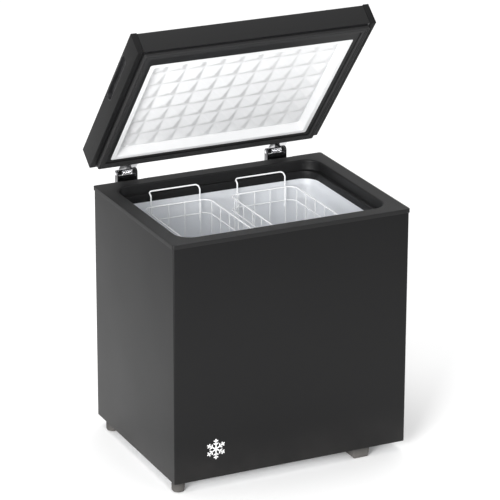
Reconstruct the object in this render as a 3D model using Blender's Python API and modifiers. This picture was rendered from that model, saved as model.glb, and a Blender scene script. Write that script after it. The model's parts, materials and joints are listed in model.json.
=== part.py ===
"""Small chest freezer with its lid held open, two hanging wire baskets and its cooling parts.

Metres, +Z up, +Y to the rear, +X to the right as seen from the front.  The origin is on the floor,
under the middle of the whole object with the lid open.  Cabinet pieces are written in the cabinet's
frame: its origin is in the middle of the bottom of the steel shell.  Lid pieces are written where
they lie with the lid closed, and their parent empty on the hinge axis opens them.
"""

import math

import bmesh
import bpy
from mathutils import Matrix, Vector

# Cabinet
WIDTH = 0.720              # over the rim collar
DEPTH = 0.553              # over the rim collar
BODY_HEIGHT = 0.700        # bottom of the shell to the top of the rim
FOOT_HEIGHT = 0.030
CLEAR = 0.0003             # gap between pieces that touch
SHEET = 0.0008             # steel of the shell and the rear panel
SHELL_CORNER = 0.004       # bend radius of the shell's upright corners
PAN_SHEET = 0.0012
PAN_FLANGE = 0.010
LINER_SHEET = 0.0008
FLOOR_FOAM = 0.045         # foam under the tub's floor
TUB_CORNER = 0.050

# Rim collar
RIM_OVERHANG = 0.0025      # collar past the shell, all round
RIM_WIDTH = 0.044          # flat top of the collar
RIM_WALL = 0.0025
RIM_LIP = 0.012            # outer lip over the shell's top edge
RIM_DEPTH = 0.052          # collar's height inside the tub
RIM_CORNER = 0.048
RIM_EDGE = 0.004           # rounding of the collar's inner top edge
LEDGE_WIDTH = 0.012        # ledge that carries the baskets' hooks
LEDGE_DROP = 0.029

# Compressor bay and the step over it
STEP_WIDTH = 0.1968        # step inside the tub, from the tub's right wall
STEP_HEIGHT = 0.300        # top of the step over the cabinet's bottom
BAY_FOAM = 0.035
BAY_LENGTH = 0.294         # bay from the shell's rear
GRILLE_LENGTH = 0.240
GRILLE_INSET = 0.024       # grille's rear edge from the shell's rear
GRILLE_Z = (0.040, 0.240)
COMPRESSOR_HEIGHT = 0.165
COMPRESSOR_SIDE = 0.1125   # compressor's centre from the shell's right side
COMPRESSOR_REAR = 0.124    # and from the shell's rear
GRILLE_SHEET = 0.0020
GRILLE_SLOTS = 9
SLOT_HEIGHT = 0.0055

# Tubes
COIL_OVER_STEP = 0.060     # lowest turn over the step
COIL_UNDER_RIM = 0.100     # highest turn under the rim
COIL_TURNS = 5
COIL_STEPS = 4             # straight pieces in each corner of the wound coil
COIL_RADIUS = 0.0035
COIL_BEND = 0.020          # the serpentine's bends in the cabinet's corners
JACKET = 0.009             # room for the serpentine beside the shell
PIPE_RADIUS = 0.0030

# Lid
LID_OVERHANG = 0.004       # lid past the cabinet, at the front and the rear
LID_HEIGHT = 0.065
LID_GAP = 0.0117           # closed skirt over the rim
CAP_WIDTH = 0.018
CAP_PROUD = 0.0015         # end caps stand proud of the sheet between them
LID_SHEET = 0.0008
HINGE_BACK = 0.0485        # hinge axis behind the cabinet
HINGE_RISE = 0.0070        # hinge axis over the rim
OPEN_ANGLE = math.radians(50.5)
FRAME_SIDE = 0.020         # inner frame's edges, in from the lid's side, rear and front
FRAME_REAR = 0.003
FRAME_FRONT_INSET = 0.008
FRAME_DROP = 0.0065        # frame's underside below the lid's skirt
FRAME_CORNER = 0.006
PANEL_SIDE = 0.0525        # white liner's edges, in from the lid's side, rear and front
PANEL_REAR = 0.0375
PANEL_FRONT_INSET = 0.062
PANEL_BORDER = 0.013
PANEL_RECESS = 0.026
PANEL_SHEET = 0.0012
GASKET_WIDTH = 0.020
GASKET_HEIGHT = 0.0101
GASKET_GROOVE = 0.003
GRIP_REAR = 0.283          # grip pocket's ends, from the lid's rear face
GRIP_FRONT = 0.473
GRIP_TOP = 0.005
GRIP_BOTTOM = 0.034
GRIP_DEPTH = 0.014
GRIP_WALL = 0.0015

# Hinges
HINGE_INSET = 0.123        # hinge's centre from the cabinet's side
HINGE_WIDTH = 0.062
HINGE_PLATE = 0.0025
HINGE_FOOT = 0.115         # height of the lower bracket's web under the rim
HINGE_LUG = 0.0105
HINGE_COVER = 0.060        # closed back of the channel under the rim
KNUCKLE = 0.0080
PIN_RADIUS = 0.0030
SPRING_RADIUS = 0.0066
SPRING_WIRE = 0.0011
SPRING_TURNS = 4

# Baskets
BASKET_X = 0.135
BASKET_WIDTH = 0.209
BASKET_GAP = 0.0173        # basket's ends from the tub's walls
BASKET_HEIGHT = 0.200
BASKET_DROP = 0.062        # basket's rim under the cabinet's rim
BASKET_WIRE = 0.0040
BASKET_PITCH = 0.059
HANDLE_WIDTH = 0.152
HANDLE_WIRE = 0.0022       # radius
HANDLE_LEG = 0.062         # leg below the basket's rim

# Feet, drain and control
FOOT_RADIUS = 0.0185
FOOT_INSET_X = 0.021       # foot's centre from the shell's side
FOOT_INSET_FRONT = 0.024
FOOT_INSET_REAR = 0.060
SKID_INSET = 0.134         # skid's centre from the shell's side
SKID_WIDTH = 0.051
SKID_LENGTH = 0.070
DRAIN_SIDE = 0.1568        # drain's centre from the tub's left wall
DRAIN_FRONT = 0.0833       # and from the tub's front wall
DRAIN_RADIUS = 0.010
DIAL_INSET = 0.045         # dial's centre from the grille's rear and top edges
DIAL_RADIUS = 0.019
DIAL_DISH = 0.027
DIAL_DEPTH = 0.014

SHELL_X = WIDTH / 2 - RIM_OVERHANG
SHELL_Y = DEPTH / 2 - RIM_OVERHANG
FLANGE_Z = BODY_HEIGHT - RIM_WALL
RIM_X = WIDTH / 2 - RIM_WIDTH
RIM_Y = DEPTH / 2 - RIM_WIDTH
LEDGE_Z = BODY_HEIGHT - LEDGE_DROP
BAND_X = RIM_X - LEDGE_WIDTH
BAND_Y = RIM_Y - LEDGE_WIDTH
TUB_X = BAND_X + RIM_WALL + CLEAR
TUB_Y = BAND_Y + RIM_WALL + CLEAR
TUB_TOP = LEDGE_Z - RIM_WALL - CLEAR
STEP_X = TUB_X - STEP_WIDTH
BAY_X = STEP_X + BAY_FOAM
BAY_TOP = STEP_HEIGHT - BAY_FOAM
BAY_FRONT = SHELL_Y - BAY_LENGTH
GRILLE_Y = (SHELL_Y - GRILLE_INSET - GRILLE_LENGTH, SHELL_Y - GRILLE_INSET)
COIL_Z = (STEP_HEIGHT + COIL_OVER_STEP, BODY_HEIGHT - COIL_UNDER_RIM)
LID_DEPTH = DEPTH + 2 * LID_OVERHANG
LID_BOTTOM = BODY_HEIGHT + LID_GAP
LID_TOP = LID_BOTTOM + LID_HEIGHT
LID_REAR = LID_DEPTH / 2
HINGE_Y = DEPTH / 2 + HINGE_BACK
HINGE_Z = BODY_HEIGHT + HINGE_RISE
HINGE_X = WIDTH / 2 - HINGE_INSET
FRAME_HALF_X = WIDTH / 2 - FRAME_SIDE
FRAME_FRONT = LID_DEPTH - FRAME_FRONT_INSET
FRAME_LEVEL = LID_HEIGHT + FRAME_DROP
PANEL_HALF_X = WIDTH / 2 - PANEL_SIDE
PANEL_FRONT = LID_DEPTH - PANEL_FRONT_INSET
BASKET_DEPTH = 2 * (TUB_Y - BASKET_GAP)
BASKET_RIM_Z = BODY_HEIGHT - BASKET_DROP
DRAIN_X = DRAIN_SIDE - TUB_X
DRAIN_Y = DRAIN_FRONT - TUB_Y
DIAL_Y = GRILLE_Y[1] - DIAL_INSET
DIAL_Z = GRILLE_Z[1] - DIAL_INSET


def lid_rear_reach():
    """How far back the lid's rear top edge reaches when the lid stands open."""
    along, up = LID_REAR - HINGE_Y, LID_TOP - HINGE_Z
    return HINGE_Y + along * math.cos(OPEN_ANGLE) + up * math.sin(OPEN_ANGLE)


CABINET_Y = (DEPTH / 2 - lid_rear_reach()) / 2
CORNER_STEPS = 5           # straight pieces in each corner of a rounded rectangle
PARTS = "chest_freezer"
CUTTERS = "cutters"


def clear_scene():
    """Remove whatever the file holds, and add the two collections."""
    for item in list(bpy.data.objects):
        bpy.data.objects.remove(item, do_unlink=True)
    for name in (PARTS, CUTTERS):
        group = bpy.data.collections.get(name)
        if group is None:
            group = bpy.data.collections.new(name)
            bpy.context.scene.collection.children.link(group)


def material(name, colour, roughness, metallic=0.0):
    """A Principled material, made once for each finish."""
    made = bpy.data.materials.get(name)
    if made is None:
        made = bpy.data.materials.new(name)
        made.use_nodes = True
        shader = made.node_tree.nodes["Principled BSDF"]
        shader.inputs["Base Color"].default_value = (*colour, 1.0)
        shader.inputs["Roughness"].default_value = roughness
        shader.inputs["Metallic"].default_value = metallic
        made.diffuse_color = (*colour, 1.0)
    return made


FINISHES = {
    "black_enamel": ((0.028, 0.028, 0.028), 0.45, 0.0),
    "black_plastic": ((0.035, 0.035, 0.036), 0.50, 0.0),
    "dark_plastic": ((0.015, 0.015, 0.016), 0.40, 0.0),
    "seal_rubber": ((0.045, 0.045, 0.046), 0.70, 0.0),
    "white_plastic": ((0.85, 0.86, 0.87), 0.35, 0.0),
    "aluminium": ((0.78, 0.80, 0.83), 0.35, 0.9),
    "foam": ((0.86, 0.80, 0.58), 0.90, 0.0),
    "chrome": ((0.80, 0.80, 0.82), 0.12, 1.0),
    "hinge_steel": ((0.06, 0.06, 0.065), 0.30, 0.9),
    "white_wire": ((0.88, 0.89, 0.90), 0.30, 0.0),
    "copper": ((0.75, 0.36, 0.20), 0.30, 1.0),
    "zinc": ((0.62, 0.63, 0.64), 0.45, 1.0),
    "foot_rubber": ((0.012, 0.012, 0.012), 0.60, 0.0),
    "lamp": ((0.10, 0.70, 0.20), 0.20, 0.0),
}


def finish(name):
    """The material of one finish."""
    colour, roughness, metallic = FINISHES[name]
    return material(name, colour, roughness, metallic)


class Frame:
    """An empty that pieces hang on, with the place of its origin in the cabinet's frame."""

    def __init__(self, name, origin, parent=None, rotation=(0.0, 0.0, 0.0)):
        self.origin = Vector(origin)
        self.empty = bpy.data.objects.new(name, None)
        bpy.data.collections[PARTS].objects.link(self.empty)
        self.empty.rotation_euler = rotation
        if parent is None:
            self.empty.location = (0.0, CABINET_Y, FOOT_HEIGHT)
        else:
            self.empty.parent = parent.empty
            self.empty.location = self.origin - parent.origin

    def hold(self, item, centre):
        """Hang an object on this frame with its own origin at centre."""
        item.parent = self.empty
        item.location = Vector(centre) - self.origin
        return item


def link(item, surface):
    """Put an object in the parts collection, or among the cutters when it has no finish."""
    if surface is None:
        bpy.data.collections[CUTTERS].objects.link(item)
        item.hide_render = True
        item.display_type = "WIRE"
    else:
        bpy.data.collections[PARTS].objects.link(item)
        item.data.materials.append(finish(surface))
    return item


def mesh_object(name, shape, surface, smooth=False):
    """Turn a finished bmesh into an object."""
    bmesh.ops.recalc_face_normals(shape, faces=shape.faces)
    if shape.calc_volume(signed=True) < 0:
        bmesh.ops.reverse_faces(shape, faces=shape.faces)
    data = bpy.data.meshes.new(name)
    shape.to_mesh(data)
    shape.free()
    if smooth:
        data.shade_smooth()
        data.set_sharp_from_angle(angle=math.radians(35))
    return link(bpy.data.objects.new(name, data), surface)


def corner_loop(shape, section, arc_steps):
    """One rounded rectangle of vertices: half width, half depth, corner radius and height."""
    half_x, half_y, radius, height = section
    verts = []
    for quarter in range(4):
        side_x = 1 if quarter in (0, 3) else -1
        side_y = 1 if quarter in (0, 1) else -1
        centre_x = side_x * (half_x - radius)
        centre_y = side_y * (half_y - radius)
        for step in range(arc_steps + 1):
            turn = math.radians(90) * (quarter + step / arc_steps)
            place = (centre_x + radius * math.cos(turn), centre_y + radius * math.sin(turn), height)
            verts.append(shape.verts.new(place))
    return verts


def loft(name, frame, centre, sections, surface=None, ring=False, arc_steps=CORNER_STEPS):
    """A body through rounded rectangles; a ring joins its last section to its first."""
    shape = bmesh.new()
    loops = [corner_loop(shape, section, arc_steps) for section in sections]
    pairs = list(zip(loops, loops[1:]))
    if ring:
        pairs.append((loops[-1], loops[0]))
    for lower, upper in pairs:
        for i in range(len(lower)):
            shape.faces.new((lower[i - 1], lower[i], upper[i], upper[i - 1]))
    if not ring:
        shape.faces.new(loops[0])
        shape.faces.new(loops[-1])
    return frame.hold(mesh_object(name, shape, surface), centre)


def box(name, frame, low, high, surface=None, bevel=0.0):
    """A box between two corners, with its edges rounded when bevel is given."""
    low, high = Vector(low), Vector(high)
    shape = bmesh.new()
    bmesh.ops.create_cube(shape, size=1.0)
    bmesh.ops.scale(shape, vec=high - low, verts=shape.verts)
    item = frame.hold(mesh_object(name, shape, surface), (low + high) / 2)
    if bevel:
        rounding = item.modifiers.new("rounding", "BEVEL")
        rounding.width = bevel
        rounding.segments = 2
    return item


AXIS_TURNS = {
    "Z": Matrix.Identity(4),
    "X": Matrix.Rotation(math.radians(90), 4, "Y"),
    "Y": Matrix.Rotation(math.radians(-90), 4, "X"),
}


def cylinder(name, frame, centre, radius, length, axis="Z", surface=None, sides=16):
    """A round bar centred at centre, along one axis."""
    shape = bmesh.new()
    bmesh.ops.create_cone(
        shape, cap_ends=True, segments=sides, radius1=radius, radius2=radius, depth=length,
        matrix=AXIS_TURNS[axis],
    )
    return frame.hold(mesh_object(name, shape, surface, smooth=True), centre)


def turned(name, frame, centre, profile, axis="Z", surface=None, sides=24):
    """A turned body: its profile of (radius, height) runs from its top down its outer side."""
    data = bpy.data.meshes.new(name)
    points = [(radius, 0.0, height) for radius, height in profile]
    data.from_pydata(points, [(i, i + 1) for i in range(len(points) - 1)], [])
    item = frame.hold(link(bpy.data.objects.new(name, data), surface), centre)
    item.rotation_euler = AXIS_TURNS[axis].to_euler()
    turning = item.modifiers.new("turning", "SCREW")
    turning.steps = sides
    turning.render_steps = sides
    turning.use_merge_vertices = True
    turning.merge_threshold = 0.00001
    return item


def tube(name, frame, centre, points, radius, surface, sides=2, closed=False):
    """A round wire or pipe through points given from centre."""
    data = bpy.data.curves.new(name, "CURVE")
    data.dimensions = "3D"
    data.bevel_depth = radius
    data.bevel_resolution = sides
    data.use_fill_caps = not closed
    line = data.splines.new("POLY")
    line.points.add(len(points) - 1)
    for knot, place in zip(line.points, points):
        knot.co = (*place, 1.0)
    line.use_cyclic_u = closed
    return frame.hold(link(bpy.data.objects.new(name, data), surface), centre)


def side_plate(name, frame, centre, outline, width, surface=None):
    """A flat outline of (y, z) points from centre, as thick as width along X."""
    data = bpy.data.curves.new(name, "CURVE")
    data.dimensions = "2D"
    data.fill_mode = "BOTH"
    data.extrude = width / 2
    line = data.splines.new("POLY")
    line.points.add(len(outline) - 1)
    for knot, (along, up) in zip(line.points, outline):
        knot.co = (along, up, 0.0, 1.0)
    line.use_cyclic_u = True
    flat = bpy.data.objects.new(name + "_outline", data)
    bpy.data.collections[CUTTERS].objects.link(flat)
    evaluated = flat.evaluated_get(bpy.context.evaluated_depsgraph_get())
    mesh = bpy.data.meshes.new_from_object(evaluated)
    bpy.data.objects.remove(flat, do_unlink=True)
    shape = bmesh.new()
    shape.from_mesh(mesh)
    bpy.data.meshes.remove(mesh)
    bmesh.ops.remove_doubles(shape, verts=shape.verts, dist=0.00001)
    upright = Matrix(((0, 0, 1, 0), (1, 0, 0, 0), (0, 1, 0, 0), (0, 0, 0, 1)))
    bmesh.ops.transform(shape, matrix=upright, verts=shape.verts)
    return frame.hold(mesh_object(name, shape, surface), centre)


def boolean(target, other, operation="DIFFERENCE"):
    """Cut a piece with another body, or join the body to it."""
    change = target.modifiers.new(other.name, "BOOLEAN")
    change.object = other
    change.operation = operation
    change.solver = "EXACT"
    return target


def arc(centre, radius, start, end, steps):
    """Points on an arc, in degrees, both ends included."""
    turns = [math.radians(start + (end - start) * i / steps) for i in range(steps + 1)]
    return [(centre[0] + radius * math.cos(t), centre[1] + radius * math.sin(t)) for t in turns]


def outer_shell(cabinet):
    """The wrapped sheet: front and both sides, open at the rear, the top and the bottom."""
    top = FLANGE_Z - CLEAR
    inner_corner = SHELL_CORNER - SHEET
    shell = loft(
        "outer_shell", cabinet, (0, 0, 0),
        [
            (SHELL_X, SHELL_Y, SHELL_CORNER, 0.0),
            (SHELL_X, SHELL_Y, SHELL_CORNER, top),
            (SHELL_X - SHEET, SHELL_Y - SHEET, inner_corner, top),
            (SHELL_X - SHEET, SHELL_Y - SHEET, inner_corner, 0.0),
        ],
        "black_enamel", ring=True,
    )
    hem = 0.012
    rear_x = SHELL_X - hem
    boolean(shell, box("rear_cut", cabinet, (-rear_x, 0.2, -0.01), (rear_x, 0.4, BODY_HEIGHT)))
    window = box(
        "grille_window", cabinet,
        (SHELL_X - 0.02, GRILLE_Y[0] + 0.008, GRILLE_Z[0] + 0.008),
        (SHELL_X + 0.02, GRILLE_Y[1] - 0.008, GRILLE_Z[1] - 0.008),
    )
    return boolean(shell, window)


def rear_panel(cabinet):
    """The flat rear sheet between the shell's hems, with slots over the compressor bay."""
    face = SHELL_Y - SHEET - CLEAR
    half = SHELL_X - SHELL_CORNER
    panel = box(
        "rear_panel", cabinet, (-half, face - SHEET, CLEAR), (half, face, FLANGE_Z - CLEAR),
        "black_enamel",
    )
    pitch = 0.018
    for row in range(8):
        height = 0.070 + row * pitch
        slot = box(
            f"rear_slot_{row}", cabinet, (BAY_X + 0.030, face - 0.01, height),
            (SHELL_X - 0.040, face + 0.01, height + SLOT_HEIGHT),
        )
        boolean(panel, slot)
    gland = cylinder("gland_hole", cabinet, (SHELL_X - 0.060, face, 0.045), 0.0095, 0.02, "Y")
    return boolean(panel, gland)


def base_pan(cabinet):
    """The folded sheet under the cabinet."""
    half_x = SHELL_X - SHEET - CLEAR
    half_y = SHELL_Y - 2 * SHEET - 2 * CLEAR
    corner = SHELL_CORNER - SHEET
    pan = loft(
        "base_pan", cabinet, (0, 0, 0),
        [
            (half_x - PAN_SHEET, half_y - PAN_SHEET, corner - PAN_SHEET, PAN_SHEET),
            (half_x - PAN_SHEET, half_y - PAN_SHEET, corner - PAN_SHEET, PAN_FLANGE),
            (half_x, half_y, corner, PAN_FLANGE),
            (half_x, half_y, corner, CLEAR),
        ],
        "zinc",
    )
    return boolean(pan, cylinder("pan_drain", cabinet, (DRAIN_X, DRAIN_Y, 0), 0.014, 0.02))


def rim_collar(cabinet):
    """The plastic collar that joins the shell to the tub, with the ledge for the baskets."""
    lip = RIM_OVERHANG - CLEAR
    half_x, half_y = WIDTH / 2, DEPTH / 2
    shell_bend = SHELL_CORNER + CLEAR
    outer_corner = SHELL_CORNER + RIM_OVERHANG
    wall_corner = RIM_CORNER + RIM_WALL
    band_corner = TUB_CORNER - RIM_WALL - CLEAR
    sections = [
        (half_x, half_y, outer_corner, BODY_HEIGHT - RIM_LIP),
        (half_x, half_y, outer_corner, BODY_HEIGHT - RIM_EDGE / 4),
        (half_x - RIM_EDGE / 4, half_y - RIM_EDGE / 4, outer_corner, BODY_HEIGHT),
        (RIM_X + RIM_EDGE, RIM_Y + RIM_EDGE, RIM_CORNER + RIM_EDGE, BODY_HEIGHT),
    ]
    for step in (1, 2, 3):
        turn = math.radians(30 * step)
        inset = RIM_EDGE * (1 - math.sin(turn))
        drop = RIM_EDGE * (1 - math.cos(turn))
        sections.append((RIM_X + inset, RIM_Y + inset, RIM_CORNER + inset, BODY_HEIGHT - drop))
    sections += [
        (RIM_X, RIM_Y, RIM_CORNER, LEDGE_Z),
        (BAND_X, BAND_Y, band_corner, LEDGE_Z),
        (BAND_X, BAND_Y, band_corner, BODY_HEIGHT - RIM_DEPTH),
        (BAND_X + RIM_WALL, BAND_Y + RIM_WALL, band_corner + RIM_WALL, BODY_HEIGHT - RIM_DEPTH),
        (BAND_X + RIM_WALL, BAND_Y + RIM_WALL, band_corner + RIM_WALL, LEDGE_Z - RIM_WALL),
        (RIM_X + RIM_WALL, RIM_Y + RIM_WALL, wall_corner, LEDGE_Z - RIM_WALL),
        (RIM_X + RIM_WALL, RIM_Y + RIM_WALL, wall_corner, FLANGE_Z - RIM_EDGE / 2),
        (RIM_X + RIM_EDGE, RIM_Y + RIM_EDGE, RIM_CORNER + RIM_EDGE, FLANGE_Z),
        (half_x - lip, half_y - lip, shell_bend, FLANGE_Z),
        (half_x - lip, half_y - lip, shell_bend, BODY_HEIGHT - RIM_LIP),
    ]
    collar = loft("rim_collar", cabinet, (0, 0, 0), sections, "black_plastic", ring=True)
    half = HINGE_WIDTH / 2 + CLEAR * 4
    for side, centre in (("left", -HINGE_X), ("right", HINGE_X)):
        notch = box(
            f"rim_notch_{side}", cabinet, (centre - half, SHELL_Y - CLEAR / 2, LEDGE_Z),
            (centre + half, SHELL_Y + 0.01, BODY_HEIGHT + 0.01),
        )
        boolean(collar, notch)
    return collar


def tub_bodies(cabinet, label, grow, top, surface=None):
    """The tub's two blocks, grown outwards: over the step, and down beside it."""
    floor = FLOOR_FOAM - grow
    step = STEP_HEIGHT - grow
    right = STEP_X + grow
    corner = TUB_CORNER + grow
    half_x, half_y = TUB_X + grow, TUB_Y + grow
    upper = loft(
        label + "_upper" if surface is None else label, cabinet, (0, 0, 0),
        [(half_x, half_y, corner, step), (half_x, half_y, corner, top)], surface,
    )
    lower_half = (right + half_x) / 2
    lower = loft(
        label + "_lower", cabinet, (right - lower_half, 0, 0),
        [
            (lower_half - 0.012, half_y - 0.012, corner - 0.012, floor),
            (lower_half, half_y, corner, floor + 0.012),
            (lower_half, half_y, corner, (step + top) / 2),
        ],
    )
    return upper, lower


def inner_liner(cabinet):
    """The sheet aluminium tub, with its step over the compressor and its drain hole."""
    liner, outer_lower = tub_bodies(cabinet, "inner_liner", LINER_SHEET, TUB_TOP, "aluminium")
    inner_upper, inner_lower = tub_bodies(cabinet, "tub_space", 0.0, BODY_HEIGHT)
    boolean(liner, outer_lower, "UNION")
    boolean(liner, inner_upper)
    boolean(liner, inner_lower)
    hole = cylinder("liner_drain", cabinet, (DRAIN_X, DRAIN_Y, FLOOR_FOAM), DRAIN_RADIUS, 0.02)
    return boolean(liner, hole)


def insulation_foam(cabinet):
    """The foam between shell and tub, with room for the coils, the bay and the drain."""
    half_x = SHELL_X - SHEET - CLEAR
    half_y = SHELL_Y - 2 * SHEET - 2 * CLEAR
    corner = SHELL_CORNER
    inset = PAN_SHEET + CLEAR
    foam = loft(
        "insulation_foam", cabinet, (0, 0, 0),
        [
            (half_x - inset, half_y - inset, corner, PAN_SHEET + CLEAR),
            (half_x - inset, half_y - inset, corner, PAN_FLANGE + CLEAR),
            (half_x - CLEAR, half_y, corner, PAN_FLANGE + CLEAR),
            (half_x - CLEAR, half_y, corner, FLANGE_Z - CLEAR),
        ],
        "foam",
    )
    for block in tub_bodies(cabinet, "foam_tub", LINER_SHEET + CLEAR, BODY_HEIGHT + 0.01):
        boolean(foam, block)
    wall = RIM_WALL + CLEAR
    wide = RIM_EDGE + CLEAR
    collar_room = loft(
        "collar_room", cabinet, (0, 0, 0),
        [
            (RIM_X + wall, RIM_Y + wall, RIM_CORNER + wall, TUB_TOP),
            (RIM_X + wall, RIM_Y + wall, RIM_CORNER + wall, FLANGE_Z - RIM_EDGE),
            (RIM_X + wide, RIM_Y + wide, RIM_CORNER + wide, FLANGE_Z - RIM_EDGE / 2),
            (RIM_X + wide, RIM_Y + wide, RIM_CORNER + wide, BODY_HEIGHT + 0.02),
        ],
    )
    boolean(foam, collar_room)
    bay = box("bay", cabinet, (BAY_X, BAY_FRONT, -0.02), (0.5, 0.5, BAY_TOP))
    boolean(foam, bay)
    margin = 2 * COIL_RADIUS + 0.006
    low, high = COIL_Z[0] - margin, COIL_Z[1] + margin
    grow = evaporator_gap() + COIL_RADIUS + CLEAR
    grow += chord_sag(TUB_CORNER + grow, CORNER_STEPS)
    inside = loft(
        "evaporator_room", cabinet, (0, 0, 0),
        [
            (TUB_X + grow, TUB_Y + grow, TUB_CORNER + grow, low),
            (TUB_X + grow, TUB_Y + grow, TUB_CORNER + grow, high),
        ],
    )
    boolean(foam, inside)
    outside = loft(
        "condenser_room", cabinet, (0, 0.04, 0),
        [
            (half_x + 0.02, half_y + 0.08, corner, low),
            (half_x + 0.02, half_y + 0.08, corner, high),
            (half_x - JACKET, half_y - JACKET + 0.04, COIL_BEND + JACKET, high),
            (half_x - JACKET, half_y - JACKET + 0.04, COIL_BEND + JACKET, low),
        ],
        ring=True,
    )
    boolean(foam, outside)
    hole = cylinder("foam_drain", cabinet, (DRAIN_X, DRAIN_Y, 0.02), 0.0145, 0.08)
    return boolean(foam, hole)


def rounded_turn(half_x, half_y, radius, height, quarters, steps=3):
    """Points round some corners of a rounded rectangle, counted anticlockwise from +X+Y."""
    points = []
    for quarter in quarters:
        side_x = 1 if quarter in (0, 3) else -1
        side_y = 1 if quarter in (0, 1) else -1
        centre = (side_x * (half_x - radius), side_y * (half_y - radius))
        for x, y in arc(centre, radius, 90 * quarter, 90 * (quarter + 1), steps):
            points.append((x, y, height))
    return points


def chord_sag(radius, steps):
    """How far the chords of a quarter arc in so many steps lie inside the arc."""
    return radius * (1 - math.cos(math.radians(45 / steps)))


def evaporator_gap():
    """From the tub's inner face to the middle of the coil round it."""
    return LINER_SHEET + COIL_RADIUS + CLEAR + chord_sag(TUB_CORNER + COIL_RADIUS, COIL_STEPS)


def evaporator_tube(cabinet):
    """The coil wound round the tub, one rising turn after another."""
    gap = evaporator_gap()
    half_x, half_y = TUB_X + gap, TUB_Y + gap
    turns = COIL_TURNS - 1
    pitch = (COIL_Z[1] - COIL_Z[0]) / turns
    points = []
    for turn in range(turns):
        ring = rounded_turn(half_x, half_y, TUB_CORNER + gap, 0.0, (0, 1, 2, 3), COIL_STEPS)
        for index, (x, y, _) in enumerate(ring):
            points.append((x, y, COIL_Z[0] + pitch * (turn + index / len(ring))))
    return tube("evaporator_tube", cabinet, (0, 0, 0), points, COIL_RADIUS, "copper", sides=0)


def condenser_tube(cabinet):
    """The serpentine on the shell's inner face: left side, front and right side, and back."""
    gap = SHEET + COIL_RADIUS + 2 * CLEAR
    half_x, half_y = SHELL_X - gap, SHELL_Y - gap
    pitch = (COIL_Z[1] - COIL_Z[0]) / COIL_TURNS
    rear = half_y - 0.060
    points = []
    for run in range(COIL_TURNS + 1):
        height = COIL_Z[0] + pitch * run
        bends = rounded_turn(half_x, half_y, COIL_BEND, height, (2, 3))
        line = [(-half_x, rear, height), *bends, (half_x, rear, height)]
        points += line if run % 2 == 0 else line[::-1]
    return tube("condenser_tube", cabinet, (0, 0, 0), points, COIL_RADIUS, "copper", sides=0)


def compressor_set(cabinet):
    """The hermetic compressor on its four grommets, with its relay, drier and pipes."""
    centre = (SHELL_X - COMPRESSOR_SIDE, SHELL_Y - COMPRESSOR_REAR, 0)
    tall = COMPRESSOR_HEIGHT
    deck = PAN_SHEET + CLEAR
    seat = deck + 0.016 + CLEAR
    turned(
        "compressor", cabinet, (centre[0], centre[1], seat),
        [
            (0.0, tall), (0.040, tall - 0.005), (0.060, tall - 0.020), (0.067, tall - 0.045),
            (0.067, 0.085), (0.071, 0.083), (0.071, 0.077), (0.067, 0.075), (0.065, 0.035),
            (0.050, 0.012),
            (0.048, 0.004), (0.080, 0.004), (0.080, 0.0), (0.0, 0.0),
        ],
        surface="black_enamel", sides=20,
    )
    for index, (side_x, side_y) in enumerate(((1, 1), (-1, 1), (-1, -1), (1, -1))):
        place = (centre[0] + side_x * 0.050, centre[1] + side_y * 0.050, deck)
        turned(
            f"grommet_{index + 1}", cabinet, place,
            [(0.0, 0.016), (0.008, 0.016), (0.008, 0.010), (0.011, 0.008), (0.011, 0.0), (0.0, 0.0)],
            surface="foot_rubber", sides=12,
        )
    relay_x = centre[0] - 0.071 - CLEAR
    box(
        "relay_cover", cabinet, (relay_x - 0.022, centre[1] - 0.025, 0.060),
        (relay_x, centre[1] + 0.025, 0.115), "dark_plastic", bevel=0.003,
    )
    turned(
        "filter_drier", cabinet, (centre[0] - 0.055, centre[1] - 0.115, 0.110),
        [(0.0, 0.060), (0.003, 0.058), (0.010, 0.048), (0.010, -0.048), (0.003, -0.058), (0.0, -0.060)],
        surface="copper", sides=12,
    )
    top = seat + tall + 0.002
    for label, across, sign, share in (("suction", -0.020, -1, 0.46), ("discharge", 0.030, 1, 0.32)):
        crossing = top + share * (BAY_TOP - top)
        swan_neck(cabinet, f"{label}_tube", (centre[0] + across, centre[1], 0), sign, top, crossing)


def swan_neck(cabinet, name, centre, sign, low, crossing):
    """A pipe that rises, crosses over by 70 mm with two bends, and rises to the bay's roof."""
    bend = 0.012
    reach = 0.070
    points = [(0, 0, low + CLEAR)]
    points += [(0, sign * (bend + y), crossing - bend + z) for y, z in arc((0, 0), bend, 180, 90, 3)]
    points += [
        (0, sign * (reach - bend + y), crossing + bend + z)
        for y, z in arc((0, 0), bend, -90, 0, 3)
    ]
    points.append((0, sign * reach, BAY_TOP - 2 * CLEAR))
    tube(name, cabinet, centre, points, PIPE_RADIUS, "copper", sides=1)


def compressor_grille(cabinet):
    """The slotted plate over the compressor bay in the right side, with the dial's hole."""
    face = SHELL_X + CLEAR
    grille = box(
        "compressor_grille", cabinet, (face, GRILLE_Y[0], GRILLE_Z[0]),
        (face + GRILLE_SHEET, GRILLE_Y[1], GRILLE_Z[1]), "black_plastic",
    )
    pitch = 0.0165
    start = GRILLE_Z[0] + 0.026
    for row in range(GRILLE_SLOTS):
        height = start + row * pitch
        slot = box(
            f"grille_slot_{row}", cabinet, (face - 0.01, GRILLE_Y[0] + 0.020, height),
            (face + 0.01, DIAL_Y - DIAL_DISH - 0.012, height + SLOT_HEIGHT),
        )
        boolean(grille, slot)
    hole = cylinder("dial_hole", cabinet, (face, DIAL_Y, DIAL_Z), DIAL_DISH - 0.001, 0.02, "X")
    boolean(grille, hole)
    lamp = cylinder("lamp_hole", cabinet, (face, DIAL_Y, DIAL_Z - 0.050), 0.0030 + CLEAR, 0.02, "X")
    boolean(grille, lamp)
    return boolean(grille, dial_dish(cabinet, face + GRILLE_SHEET), "UNION")


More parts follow.
